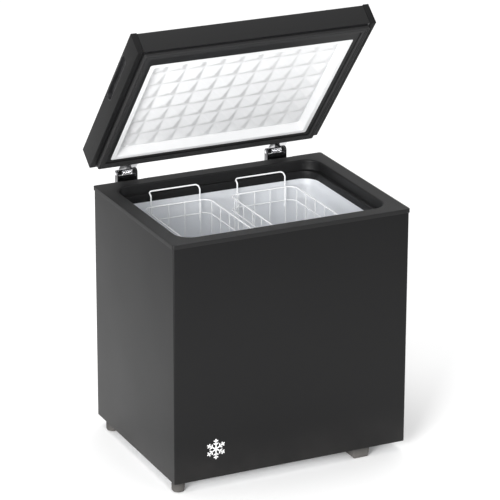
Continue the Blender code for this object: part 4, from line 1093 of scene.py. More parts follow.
class FREEZER_OT_rear(bpy.types.Operator):
    """Finish the rear sheet with pressed louvre hoods and stiffening beads"""

    bl_idname = "freezer.rear"
    bl_label = "Rear Sheet"

    def execute(self, context):
        keep("rear_panel", "base_pan", "insulation_foam", "evaporator_tube", "condenser_tube")
        low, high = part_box("rear_panel")
        lines = [
            ([(x, high.y, high.z - drop) for drop in BEAD_DROPS], 3.2 * MM, 0.0, False)
            for x in BEAD_PLACES
        ]
        beads = wires(lines, "black_enamel", 16, 4)
        face = Matrix.Translation((0, high.y, 0))
        beads.transform(face @ Matrix.Diagonal((1, 0.35, 1, 1)) @ face.inverted())
        piece("rear_beads", beads, "black_enamel", "cabinet")
        hoods = grown(
            slat_tree, "black_enamel", Count=8, Start=(0.0, 0.0, 0.0), Pitch=18 * MM, Length=160 * MM,
            Width=9 * MM, Thickness=1.2 * MM, Tilt=math.radians(50),
        )
        x = (LOUVRE_LEFT + high.x - LOUVRE_MARGIN) / 2
        place = Matrix.Translation((x, high.y + 2 * MM, low.z + LOUVRE_LIFT))
        hoods.transform(place @ Matrix.Rotation(math.radians(90), 4, "Z"))
        piece("rear_louvres", hoods, "black_enamel", "cabinet")
        return {"FINISHED"}


# ---------------------------------------------------------------- cooling, control, drain and feet


class FREEZER_OT_cooling(bpy.types.Operator):
    """Build the compressor with its relay, mounts and pipes"""

    bl_idname = "freezer.cooling"
    bl_label = "Compressor"

    def execute(self, context):
        low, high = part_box("compressor")
        x, y, _ = middle_of((low, high))
        dome = [(0, 0), (20, -1), (40, -6), (57, -19), (65, -40), (67, -60)]
        foot = [
            (67, 85), (70, 84), (71, 82), (71, 78), (70, 76), (67, 75), (66, 40), (60, 22), (50, 12),
            (48, 4), (80, 4), (80, 0.5), (0, 0.5),
        ]
        can = lathe(profile(dome, high.z - low.z) + profile(foot), (x, y, low.z), steps=64)
        piece("compressor_can", can, "black_enamel", "cabinet", ("compressor",))
        box = carved(block(*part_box("relay_cover")), bevel=3 * MM, segments=3)
        piece("relay_box", box, "dark_plastic", "cabinet", ("relay_cover",))
        keep(
            "grommet_1", "grommet_2", "grommet_3", "grommet_4", "filter_drier", "suction_tube",
            "discharge_tube", "thermostat_body",
        )
        return {"FINISHED"}


def printed(half, foot, top, top_half=None):
    """A thin printed bar that stands on (0, foot), as a bmesh in the print's own plane."""
    top_half = top_half or half
    outline = [(-half, foot), (half, foot), (top_half, top), (-top_half, top)]
    return prism([(x, y, 0) for x, y in outline], [(x, y, 0.12 * MM) for x, y in outline])


def merged(shapes):
    """Several bmeshes as one."""
    whole = bmesh.new()
    for shape in shapes:
        data = bpy.data.meshes.new("work")
        shape.to_mesh(data)
        shape.free()
        whole.from_mesh(data)
        bpy.data.meshes.remove(data)
    return whole


def digit(text, size):
    """One printed digit, centred, as a bmesh in its own plane."""
    data = bpy.data.curves.new("digit", "FONT")
    data.body, data.size, data.extrude = text, size, 0.06 * MM
    data.align_x, data.align_y = "CENTER", "CENTER"
    item = bpy.data.objects.new("digit", data)
    bpy.context.scene.collection.objects.link(item)
    shape = editable(evaluated_mesh(item))
    bmesh.ops.remove_doubles(shape, verts=shape.verts, dist=1e-6)
    return shape


GRILLE_THICK = 2 * MM
DISH_RADIUS = 27 * MM


class FREEZER_OT_control(bpy.types.Operator):
    """Build the vent grille, the temperature dial and the lamp"""

    bl_idname = "freezer.control"
    bl_label = "Grille and Dial"

    def execute(self, context):
        axis = Vector(JOINTS["thermostat_turn"]["pos_m"])
        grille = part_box("compressor_grille")
        lamp = Vector((axis.x, axis.y, middle_of(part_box("status_lamp"))[2]))
        self.vent(*grille, axis, lamp)
        self.dish(axis, grille[0].x - axis.x)
        self.scale(axis)
        self.knob(axis)
        lens = profile([(0, 2.6), (1.4, 2.3), (2.4, 1.5), (3, 0.4), (3, -10), (0, -10)])
        lamp.x = axis.x - GRILLE_THICK + MM
        piece("power_lamp", lathe(lens, lamp, "X", 32), "lamp", "cabinet", ("status_lamp",))
        return {"FINISHED"}

    def vent(self, low, high, axis, lamp):
        """The grille's plate, with its window, its two round holes and its slats."""
        face, back = axis.x, axis.x - GRILLE_THICK
        outline = soften_flat(
            [(low.y, low.z), (high.y, low.z), (high.y, high.z), (low.y, high.z)], 6 * MM, 5,
        )
        frame_width = 18 * MM
        window_low = Vector((back - 20 * MM, low.y + frame_width, low.z + frame_width))
        window_high = Vector((face + 20 * MM, axis.y - DISH_RADIUS - 11 * MM, high.z - frame_width))
        cuts = [
            block(window_low, window_high), rod(DISH_RADIUS - MM, 9 * MM, axis, "X"),
            rod(3.3 * MM, 9 * MM, lamp, "X", 24),
        ]
        sheet = carved(plate(outline, back, face), cuts, bevel=0.5 * MM)
        piece("vent_plate", sheet, "black_plastic", "cabinet", ("compressor_grille",))
        count = 9
        pitch = (window_high.z - window_low.z) / count
        slats = grown(
            slat_tree, "black_plastic", Count=count, Pitch=pitch,
            Start=(back - 1.5 * MM, (window_low.y + window_high.y) / 2, window_low.z + pitch / 2),
            Length=window_high.y - window_low.y + 4 * MM, Width=17 * MM, Thickness=1.6 * MM,
            Tilt=math.radians(52),
        )
        piece("vent_slats", slats, "black_plastic", "cabinet")

    def dish(self, axis, floor):
        """The sunk dish that the knob stands in, with its rolled edge."""
        rim, wall, bore = DISH_RADIUS, 1.5 * MM, 4.5 * MM
        section = [
            (bore, floor + wall), (rim - 4.5 * MM, floor + wall), (rim - 3 * MM, floor + 2 * wall),
            (rim - 1.5 * MM, -0.8 * MM), (rim - 0.8 * MM, 0.2 * MM), (rim + 0.8 * MM, 0.4 * MM),
            (rim + 1.5 * MM, 0.0), (rim + 0.6 * MM, -GRILLE_THICK),
            (rim - 0.5 * MM, -GRILLE_THICK - 2 * MM), (rim - 2 * MM, floor), (bore, floor),
        ]
        piece("dial_dish", lathe(section, axis, "X", 72), "black_plastic", "cabinet")

    def scale(self, axis):
        """Seven printed ticks and digits round the dish."""
        marks = []
        for number in range(7):
            turn = math.radians(225 - 45 * number)
            direction = Vector((math.cos(turn), math.sin(turn), 0))
            tick = printed(0.4 * MM, 0, 2.4 * MM)
            tick.transform(
                Matrix.Translation(direction * (DISH_RADIUS + 2.4 * MM))
                @ Matrix.Rotation(turn - math.pi / 2, 4, "Z")
            )
            text = digit(str(number + 1), 7 * MM)
            text.transform(Matrix.Translation(direction * (DISH_RADIUS + 9 * MM)))
            marks += [tick, text]
        scale = merged(marks)
        scale.transform(Matrix.Translation(axis) @ AXES["X"])
        piece("dial_scale", scale, "print_white", "cabinet")

    def knob(self, axis):
        """The dial's knob with its grip, its ribbed edge and its white pointer."""
        low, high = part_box("thermostat_knob")
        floor = low.x - axis.x + 1.4 * MM
        top = high.x - axis.x
        section = [
            (0, 10.5), (12, 10.5), (14.6, 10), (16, 8.4), (17.4, 4.5), (18.2, 3.2), (19, 2.6), (19, 0),
            (3.5, 0), (3.5, -1.2), (0, -1.2),
        ]
        reach = 17 * MM
        outline = soften_flat(
            [(axis.y - 3.5 * MM, axis.z - reach), (axis.y + 3.5 * MM, axis.z - reach),
             (axis.y + 2.6 * MM, axis.z + reach), (axis.y - 2.6 * MM, axis.z + reach)],
            2 * MM,
        )
        grip = plate(outline, axis.x + floor + 6 * MM, axis.x + top)
        body = lathe(profile(section, floor), axis, "X", 64)
        whole = carved(body, joins=[grip], bevel=0.5 * MM, angle=40)
        piece("dial_knob", whole, "black_plastic", "thermostat_dial", ("thermostat_knob",))
        ribs = grown(
            rib_tree, "black_plastic", Count=36, Ring_Radius=18.7 * MM, Rib_Radius=0.5 * MM,
            Rib_Length=2.4 * MM,
        )
        ribs.transform(Matrix.Translation(axis + Vector((floor + 1.4 * MM, 0, 0))) @ AXES["X"])
        piece("dial_ribs", ribs, "black_plastic", "thermostat_dial")
        pointer = printed(0.7 * MM, 7 * MM, 15.5 * MM, 0.5 * MM)
        pointer.transform(Matrix.Translation(axis + Vector((top, 0, 0))) @ AXES["X"])
        piece("dial_pointer", pointer, "print_white", "thermostat_dial")


class FREEZER_OT_drain(bpy.types.Operator):
    """Build the drain's plug, cap and pipe, and the cord's gland"""

    bl_idname = "freezer.drain"
    bl_label = "Drain and Gland"

    def execute(self, context):
        self.plug()
        self.cap()
        keep("drain_pipe")
        x, _, z = middle_of(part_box("cord_gland"))
        gland = [
            (4.5, 12), (6.8, 12), (7.5, 11.4), (7.7, 9.6), (7, 9), (8.4, 8.2), (8.8, 6.4), (8, 5.8),
            (9.6, 5), (11.4, 3.2), (12, 2.4), (12, 0), (9, 0), (9, -10), (4.5, -10),
        ]
        bush = lathe(profile(gland), (x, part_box("outer_shell")[1].y - 0.8 * MM, z), "Y")
        piece("cord_bush", bush, "dark_plastic", "cabinet", ("cord_gland",))
        return {"FINISHED"}

    def plug(self):
        """The rubber stopper on the tub's floor, with its pull tab."""
        low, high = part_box("drain_plug")
        x, y, _ = middle_of((low, high))
        z = high.z - 8 * MM
        section = [
            (0, 4.4), (6, 4.4), (9, 3.8), (15.8, 3), (16.5, 2.2), (16.5, 0.9), (15.6, 0.3), (8.2, 0.3),
            (8.4, -2), (7.6, -4), (8.2, -6), (7.2, -9), (6.4, -12), (0, -12),
        ]
        tab = soften_flat(
            [(y - 6 * MM, z + 3 * MM), (y + 6 * MM, z + 3 * MM), (y + 5 * MM, z + 8 * MM),
             (y - 5 * MM, z + 8 * MM)],
            2 * MM,
        )
        handle = plate(tab, x - 1.4 * MM, x + 1.4 * MM)
        whole = carved(lathe(profile(section), (x, y, z)), joins=[handle], bevel=0.4 * MM, angle=45)
        piece("drain_stopper", whole, "foot_rubber", "drain_stopper", ("drain_plug",))

    def cap(self):
        """The ribbed screw cap under the cabinet."""
        low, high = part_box("drain_cap")
        x, y, _ = middle_of((low, high))
        section = [
            (0, 3), (13.2, 3), (13.2, 10), (14.6, 10), (15.3, 9.4), (15.3, 1.4), (14.2, 0.3), (0, 0.2),
        ]
        body = lathe(profile(section), (x, y, low.z))
        piece("drain_screw_cap", body, "dark_plastic", "drain_closure", ("drain_cap",))
        ribs = grown(
            rib_tree, "dark_plastic", Count=30, Ring_Radius=15.2 * MM, Rib_Radius=0.8 * MM,
            Rib_Length=7 * MM,
        )
        ribs.transform(Matrix.Translation((x, y, low.z + 5 * MM)))
        piece("drain_cap_ribs", ribs, "dark_plastic", "drain_closure")


class FREEZER_OT_feet(bpy.types.Operator):
    """Make the two round feet and the two block feet"""

    bl_idname = "freezer.feet"
    bl_label = "Feet"

    def execute(self, context):
        for place in ("front", "rear"):
            self.round_foot(place)
            self.block_foot(place)
        return {"FINISHED"}

    def round_foot(self, place):
        """A round rubber foot, with a groove under its collar."""
        low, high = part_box(f"foot_{place}_left")
        x, y, _ = middle_of((low, high))
        radius, tall = (high.x - low.x) / 2, high.z - low.z
        section = [
            (0, tall), (radius, tall), (radius, tall - 3 * MM), (radius - 0.9 * MM, tall - 4 * MM),
            (radius - 0.9 * MM, tall - 5.5 * MM), (radius, tall - 6.5 * MM), (radius, 8 * MM),
            (radius - 0.5 * MM, 4.5 * MM), (radius - 2 * MM, 1.8 * MM), (radius - 5 * MM, 0.3 * MM),
            (radius - 7 * MM, 0), (0, 0),
        ]
        body = lathe(section, (x, y, low.z), steps=56)
        piece(f"round_foot_{place}", body, "foot_rubber", "cabinet", (f"foot_{place}_left",))

    def block_foot(self, place):
        """A block foot that narrows downwards, with grooves across its sole."""
        low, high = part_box(f"foot_{place}_right")
        lean, grooves, groove = 3 * MM, 4, 1.6 * MM
        sections = [
            rectangle(low, high, inset, 4 * MM, z)
            for inset, z in ((lean + MM, low.z), (lean, low.z + MM), (lean * 0.7, low.z + 4 * MM),
                             (0.0, high.z - 8 * MM), (0.0, high.z))
        ]
        cuts = []
        for step in range(grooves):
            y = low.y + (high.y - low.y) * (step + 1) / (grooves + 1)
            cuts.append(
                block((low.x - MM, y - groove, low.z - MM), (high.x + MM, y + groove, low.z + groove))
            )
        body = carved(loft(sections, steps=6), cuts, bevel=0.5 * MM, angle=40)
        piece(f"block_foot_{place}", body, "foot_rubber", "cabinet", (f"foot_{place}_right",))


# From the shell's lower left front corner to the snowflake's middle.
BADGE_PLACE = (125 * MM, -0.02 * MM, 85 * MM)


class FREEZER_OT_badge(bpy.types.Operator):
    """Print a plain snowflake low on the front"""

    bl_idname = "freezer.badge"
    bl_label = "Snowflake"

    def execute(self, context):
        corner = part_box("outer_shell")[0]
        reach, half = 30 * MM, 1.7 * MM
        parts = [printed(half, 0, reach)]
        for share, twig_reach in ((0.42, 9 * MM), (0.70, 8 * MM)):
            for sign in (-1, 1):
                twig = printed(half * 0.85, 0, twig_reach)
                lean = Matrix.Rotation(sign * math.radians(-55), 4, "Z")
                twig.transform(Matrix.Translation((0, reach * share, 0)) @ lean)
                parts.append(twig)
        arm = bpy.data.meshes.new("arm")
        whole = merged(parts)
        whole.to_mesh(arm)
        whole.free()
        flake = grown(flake_tree, "print_white", arm, Arms=6)
        place = Matrix.Translation(corner + Vector(BADGE_PLACE))
        flake.transform(place @ Matrix.Rotation(math.radians(90), 4, "X"))
        piece("front_snowflake", flake, "print_white", "cabinet")
        return {"FINISHED"}


# ---------------------------------------------------------------- lid


class FREEZER_OT_lid_casing(bpy.types.Operator):
    """Fold the lid's sheet, and mould its end caps with their grips"""

    bl_idname = "freezer.lid_casing"
    bl_label = "Lid Casing"

    def execute(self, context):
        sizes = context.scene.freezer_lid
        low, high = shut_box("lid_outer_panel")
        sheet, bend = sizes.sheet, sizes.bend
        outer = soften_flat(
            [(low.y, low.z), (low.y, high.z), (high.y, high.z), (high.y, low.z)], bend, 6, closed=False,
        )
        inner = soften_flat(
            [(low.y + sheet, low.z), (low.y + sheet, high.z - sheet),
             (high.y - sheet, high.z - sheet), (high.y - sheet, low.z)],
            bend - sheet, 6, closed=False,
        )
        outline = outer + inner[::-1]
        tuck = CLEAR + 0.4 * MM
        lid_piece(
            "lid_skin", plate(outline, low.x - tuck, high.x + tuck), "black_enamel",
            ("lid_outer_panel",), 30,
        )
        for side, sign in SIDES:
            self.cap(side, sign, sizes)
        self.skirt(low, high)
        return {"FINISHED"}

    def skirt(self, low, high):
        """The dark strip that closes the lid's underside between the skirt and the seal."""
        inner_low, inner_high = shut_box("lid_inner_frame")
        bottom, top = low.z + 0.4 * MM, low.z + 2.4 * MM
        sections = [
            (low.x + 0.2 * MM, high.x - 0.2 * MM, low.y + MM, high.y - MM, 2 * MM, z)
            for z in (bottom, top)
        ]
        sections += [rectangle(inner_low, inner_high, MM, 5 * MM, z) for z in (top, bottom)]
        lid_piece("lid_skirt_return", loft(sections, ring=True), "dark_plastic")

    def slot_outline(self, box, inset):
        """The grip's outline: full round at its rear end and small corners at its front end."""
        low, high = box
        half = (high.z - low.z) / 2 - inset
        middle = (high.z + low.z) / 2
        corner = half * 0.55
        rear, front = high.y - inset, low.y + inset
        return [
            *arc((rear - half, middle), half, -90, 90, 12),
            *arc((front + corner, middle + half - corner), corner, 90, 180, 6),
            *arc((front + corner, middle - half + corner), corner, 180, 270, 6),
        ]

    def cap(self, side, sign, sizes):
        """One end cap: a rounded block with a sunk, dark grip."""
        low, high = shut_box(f"lid_cap_{side}")
        cup = shut_box(f"grip_cup_{side}")
        outer = high.x if sign > 0 else low.x
        deep = cup[0].x if sign > 0 else cup[1].x
        outside = outer + sign * 5 * MM
        body = carved(block(low, high), bevel=1.6 * MM, segments=4)
        pocket = plate(self.slot_outline(cup, -CLEAR), deep, outside)
        # The cap takes the dimmed copy of the black plastic: painted shade.
        lid_piece(
            f"lid_end_{side}", carved(editable(body), [pocket]), "shaded_cap_plastic", (f"lid_cap_{side}",), 30,
        )
        wall = sizes.grip_wall
        shell = plate(self.slot_outline(cup, 0), deep, outer - sign * CLEAR)
        scoop = plate(self.slot_outline(cup, wall), deep + sign * wall, outside)
        lid_piece(
            f"lid_grip_{side}", carved(shell, [scoop], bevel=0.5 * MM, angle=40), "dark_plastic",
            (f"grip_cup_{side}",), 30,
        )
        rim = [(outer - sign * 0.1 * MM, y, z) for y, z in self.slot_outline(cup, 0.3 * MM)]
        bead = wires([(rim, 0.7 * MM, 0.0, True)], "dark_plastic", 10)
        lid_piece(f"lid_grip_rim_{side}", bead, "dark_plastic")


CELL_STEPS = 14
LAST_SHARE = 0.99999


class FREEZER_OT_lid_underside(bpy.types.Operator):
    """Build the lid's black frame, its seal, its foam and the quilted white liner"""

    bl_idname = "freezer.lid_underside"
    bl_label = "Lid Underside"

    def execute(self, context):
        sizes = context.scene.freezer_lid
        low, high = shut_box("lid_inner_frame")
        panel_low, panel_high = shut_box("lid_liner")
        seat = low.z + 5.5 * MM
        edge = sizes.gasket + CLEAR
        path = [
            (0.0, high.z, 6 * MM), (0.0, seat, 6 * MM), (edge, seat, 2 * MM), (edge, low.z, 2 * MM),
        ]
        sections = [rectangle(low, high, d, r, z) for d, z, r in soften(path, 0.8 * MM, 3, False)]
        window = [
            rectangle(panel_low, panel_high, -CLEAR - 0.6 * MM, 5 * MM, low.z),
            rectangle(panel_low, panel_high, -CLEAR, 5 * MM, low.z + 0.6 * MM),
            rectangle(panel_low, panel_high, -CLEAR, 5 * MM, high.z),
        ]
        body = loft(sections + window, ring=True)
        lid_piece("lid_frame", body, "black_plastic", ("lid_inner_frame",), 30)
        self.seal(low, high, seat, sizes)
        self.liner(panel_low, panel_high, low.z, sizes)
        self.foam(low, high, panel_low, panel_high, sizes)
        return {"FINISHED"}

    def seal(self, low, high, seat, sizes):
        """The rubber seal: two ridges over a pleated bellows, all round the frame."""
        tip = shut_box("lid_gasket")[0].z
        width = sizes.gasket
        foot = seat - CLEAR
        deep = foot - tip
        pleat = foot - 0.42 * deep
        path = [
            (0.3 * MM, foot), (0.3 * MM, pleat + 1.2 * MM), (1.9 * MM, pleat), (0.3 * MM, pleat - 1.2 * MM),
            (0.5 * MM, tip + 1.6 * MM), (2 * MM, tip), (4.4 * MM, tip), (5.4 * MM, tip + 1.6 * MM),
            (5.9 * MM, tip + 3.6 * MM), (6.4 * MM, tip + 1.6 * MM), (7.4 * MM, tip), (9.8 * MM, tip),
            (10.8 * MM, tip + 1.6 * MM), (11.3 * MM, tip + 2.6 * MM), (12.2 * MM, tip + 1.4 * MM),
            (width - 1.5 * MM, tip + 1.2 * MM), (width - 0.3 * MM, tip + 2.6 * MM),
            (width - 0.3 * MM, pleat - 1.2 * MM), (width - 1.9 * MM, pleat),
            (width - 0.3 * MM, pleat + 1.2 * MM), (width - 0.3 * MM, foot),
        ]
        sections = [
            rectangle(low, high, d, max(6 * MM - d, 1.2 * MM), z)
            for d, z in soften_flat(path, 0.9 * MM, 3)
        ]
        lid_piece("lid_seal", loft(sections, ring=True, steps=6), "seal_rubber", ("lid_gasket",), 45)

    def liner(self, low, high, level, sizes):
        """The white liner: a flat border, a recess with leaning walls and a quilted field."""
        sheet = 1.2 * MM
        border, slope = sizes.border, sizes.slope
        deep = level + sizes.recess
        path = [
            (CLEAR, level + 1.6 * MM, 5 * MM), (CLEAR, level, 5 * MM), (border - 2.2 * MM, level, 6 * MM),
            (border - 1.8 * MM, level + 0.8 * MM, 6 * MM), (border - MM, level + 0.8 * MM, 6 * MM),
            (border - 0.6 * MM, level, 6 * MM), (border, level, 6 * MM),
            (border + slope, deep, 4 * MM), (border + slope + 4 * MM, deep, 3 * MM),
            (border + slope + 4 * MM, deep + sheet, 3 * MM), (border + slope - sheet, deep + sheet, 4 * MM),
            (border - sheet, level + sheet, 6 * MM), (2 * MM, level + sheet, 5 * MM),
            (2 * MM, level + 1.6 * MM, 5 * MM),
        ]
        sections = [rectangle(low, high, d, r, z) for d, z, r in soften(path, 1.2 * MM, 4)]
        lid_piece("liner_border", loft(sections, ring=True), "white_plastic", ("lid_liner",), 30)
        inset = border + slope + 0.5 * MM
        left, right = low.x + inset, high.x - inset
        front, rear = low.y + inset, high.y - inset
        columns, rows = CELL_STEPS * sizes.columns, CELL_STEPS * sizes.rows
        shares = [(i / columns, j / rows) for j in range(rows + 1) for i in range(columns + 1)]
        places = [
            (left + (right - left) * across, front + (rear - front) * along, deep + 0.4 * MM)
            for across, along in shares
        ]
        near = [j * (columns + 1) + i for j in range(rows) for i in range(columns)]
        faces = [(i, i + columns + 1, i + columns + 2, i + 1) for i in near]
        across, along = zip(*[(min(x, LAST_SHARE), min(y, LAST_SHARE)) for x, y in shares])
        field = grown(
            quilt_tree, "white_plastic", points_mesh(places, (), faces, across=across, along=along),
            Columns=float(sizes.columns), Rows=float(sizes.rows), Height=sizes.quilt, Peak_X=0.62,
            Peak_Y=0.66, Softness=0.04,
        )
        lid_piece("liner_quilt", walled(editable(field), sheet), "white_plastic", sharp=75)

    def foam(self, low, high, panel_low, panel_high, sizes):
        """The lid's foam, cut round the frame and the liner."""
        foam_low, foam_high = shut_box("lid_foam")
        foam_low += Vector((1.5 * MM, MM, 4 * MM))
        foam_high -= Vector((1.5 * MM, MM, MM))
        level, gap = low.z, 2.4 * MM
        frame_room = loft([
            rectangle(low, high, -MM, 6 * MM, level - 10 * MM),
            rectangle(low, high, -MM, 6 * MM, high.z + 0.6 * MM),
        ])
        border, slope = sizes.border, sizes.slope
        room = loft([
            rectangle(panel_low, panel_high, border - gap, 6 * MM, level - 10 * MM),
            rectangle(panel_low, panel_high, border - gap, 6 * MM, level),
            rectangle(panel_low, panel_high, border + slope - gap, 6 * MM, level + sizes.recess + gap),
        ])
        body = carved(block(foam_low, foam_high), [frame_room, room])
        lid_piece("lid_foam_fill", body, "foam", ("lid_foam",))


# ---------------------------------------------------------------- hinges


class FREEZER_OT_hinges(bpy.types.Operator):
    """Build both sprung hinges"""

    bl_idname = "freezer.hinges"
    bl_label = "Hinges"

    def execute(self, context):
        for side, _ in SIDES:
            self.bracket(side)
            self.arm(side)
            self.pin(side)
            self.spring(side)
        return {"FINISHED"}

    def bore(self, x, half):
        """The hole for a hinge's pin, as the body to cut away."""
        return rod(3.3 * MM, half, (x, HINGE.y, HINGE.z), "X", 32)

    def bracket(self, side):
        """The lower channel: a back on the rear sheet, two cheeks with lugs and a closed cover."""
        low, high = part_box(f"hinge_bracket_{side}")
        rim_top = cabinet_frame()[4]
        sheet = 2.5 * MM
        lug = high.y - HINGE.y
        knee = rim_top - 60 * MM
        outline = [
            (low.y, low.z), (low.y, rim_top - 38 * MM), (HINGE.y - lug, rim_top - 16 * MM),
            *[(HINGE.y + y, HINGE.z + z) for y, z in arc((0, 0), lug, 180, 0, 20)],
            (HINGE.y + lug, knee), (low.y + sheet, knee - 20 * MM), (low.y + sheet, low.z),
        ]
        back = HINGE.y + 8 * MM
        left, right, above = low.x + sheet, high.x - sheet, HINGE.z + 50 * MM
        cuts = [
            block((left, low.y + sheet, low.z - 10 * MM), (right, back, above)),
            block((left, back - MM, rim_top - 4 * MM), (right, back + 50 * MM, above)),
            self.bore((low.x + high.x) / 2, (high.x - low.x) / 2 + 10 * MM),
        ]
        body = carved(plate(outline, low.x, high.x), cuts, bevel=0.45 * MM, segments=3)
        piece(
            f"hinge_channel_{side}", body, "hinge_steel", "cabinet", (f"hinge_bracket_{side}",), sharp=35,
        )

    def arm(self, side):
        """The upper plate on the lid, rolled round the pin in two knuckles."""
        low, high = shut_box(f"hinge_arm_{side}")
        knuckle, sheet = 8 * MM, 2.5 * MM
        front, rear = low.y, low.y + sheet
        outline = [
            (front, high.z), (front, HINGE.z + 1.5 * MM), (HINGE.y - 15 * MM, HINGE.z + 1.5 * MM),
            *[(HINGE.y + y, HINGE.z + z) for y, z in arc((0, 0), knuckle, 225, 450, 20)],
            (rear + 2 * MM, HINGE.z + knuckle), (rear, HINGE.z + knuckle + 2 * MM), (rear, high.z),
        ]
        middle = (low.x + high.x) / 2
        room = block(
            (middle - 16 * MM, HINGE.y - 12 * MM, HINGE.z - 20 * MM),
            (middle + 16 * MM, HINGE.y + 20 * MM, HINGE.z + 20 * MM),
        )
        bore = self.bore(middle, high.x - low.x)
        body = carved(plate(outline, low.x, high.x), [room, bore], bevel=0.4 * MM, segments=3)
        lid_piece(f"hinge_leaf_{side}", body, "chrome", (f"hinge_arm_{side}",), 35)

    def pin(self, side):
        """The headed pin through both halves."""
        low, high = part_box(f"hinge_pin_{side}")
        half, head = (high.x - low.x) / 2, (high.z - low.z) / 2
        cap, stem = 2.2 * MM, 3 * MM
        end = [
            (0, half), (head * 0.55, half), (head * 0.85, half - 0.5 * MM), (head, half - 1.2 * MM),
            (head, half - cap), (stem, half - cap),
        ]
        section = end + [(radius, -z) for radius, z in reversed(end)]
        body = lathe(section, ((low.x + high.x) / 2, HINGE.y, HINGE.z), "X", 40)
        piece(f"hinge_axle_{side}", body, "chrome", "cabinet", (f"hinge_pin_{side}",))

    def spring(self, side):
        """The torsion spring round the pin."""
        low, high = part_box(f"hinge_spring_{side}")
        coil, wire, turns, steps = 6.6 * MM, 1.1 * MM, 8.25, 28
        width = high.x - low.x - 2 * wire
        left = (low.x + high.x) / 2 - width / 2
        count = round(turns * steps)
        points = [(left, HINGE.y + coil, HINGE.z - drop) for drop in (30 * MM, 12 * MM)]
        for step in range(count + 1):
            turn = 2 * math.pi * step / steps
            points.append((
                left + width * step / count, HINGE.y + coil * math.cos(turn),
                HINGE.z + coil * math.sin(turn),
            ))
        x, y, z = points[-1]
        points.append((x, y - 5 * MM, z))
        body = wires([(points, wire, 0.0, False)], "chrome", 10)
        piece(f"hinge_coil_{side}", body, "chrome", "cabinet", (f"hinge_spring_{side}",))


# ---------------------------------------------------------------- baskets


BASKET_WALLS = ("outer_side", "inner_side", "front", "rear", "floor")


def even(low, high, pitch):
    """Places between two ends, about pitch apart."""
    count = max(1, round((high - low) / pitch))
    return [low + (high - low) * i / count for i in range(count + 1)]


class FREEZER_OT_baskets(bpy.types.Operator):
    """Weld both wire baskets with their hooked handles"""

    bl_idname = "freezer.baskets"
    bl_label = "Wire Baskets"

    def execute(self, context):
        sizes = context.scene.freezer_basket
        for side, _ in SIDES:
            walls = [f"basket_{side}_{wall}" for wall in BASKET_WALLS]
            low, high = span(walls)
            body = wires(self.walls(low, high, sizes), "white_wire", 12, 8)
            piece(f"wire_basket_{side}", body, "white_wire", f"basket_{side}", walls)
            for end, sign in (("front", -1), ("rear", 1)):
                node = f"basket_{side}_handle_{end}"
                body = wires([self.handle(node, sign, sizes)], "white_wire", 14, 8)
                piece(f"basket_hook_{side}_{end}", body, "white_wire", f"basket_{side}", (node,))
        return {"FINISHED"}

    def walls(self, low, high, sizes):
        """Rim, rails and the wires that run down, across and up."""
        rim, wire, corner = sizes.rim, sizes.wire, sizes.corner
        x0, x1, y0, y1 = low.x + rim, high.x - rim, low.y + rim, high.y - rim
        top, base = high.z - rim, low.z + wire
        paths = [
            ([(x0, y0, z), (x1, y0, z), (x1, y1, z), (x0, y1, z)], radius, corner, True)
            for z, radius in (
                (top, rim), (top - sizes.rail_drop, wire * 1.15), (base + 14 * MM, wire * 1.15),
            )
        ]
        inside = rim + wire * 0.6
        low_x, high_x, low_y, high_y = x0 + inside, x1 - inside, y0 + inside, y1 - inside
        bend = 12 * MM
        for y in even(low_y + corner, high_y - corner, sizes.pitch):
            points = [(low_x, y, top), (low_x, y, base), (high_x, y, base), (high_x, y, top)]
            paths.append((points, wire, bend, False))
        for x in even(low_x + corner, high_x - corner, sizes.pitch):
            up = base + 1.9 * wire
            points = [(x, low_y, top), (x, low_y, up), (x, high_y, up), (x, high_y, top)]
            paths.append((points, wire, bend, False))
        return paths

    def handle(self, node, sign, sizes):
        """A handle: two legs on the basket's end, bent over the ledge and joined across."""
        low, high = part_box(node)
        wire = sizes.handle
        left, right = low.x + wire, high.x - wire
        leg = (low.y if sign > 0 else high.y) + sign * wire
        bar = (high.y if sign > 0 else low.y) - sign * wire
        top = high.z - wire
        knee = top - 9 * MM
        points = [
            (left, leg, low.z), (left, leg, knee), (left, bar, top), (right, bar, top),
            (right, leg, knee), (right, leg, low.z),
        ]
        return points, wire, [0.0, 7 * MM, 9 * MM, 9 * MM, 7 * MM, 0.0], False


# ---------------------------------------------------------------- screws


# On the rear sheet: across its top and bottom edges, and up its sides.
SCREW_COLUMNS = (-0.12, 0.12)
SCREW_ROWS = (0.20, 0.38, 0.56)


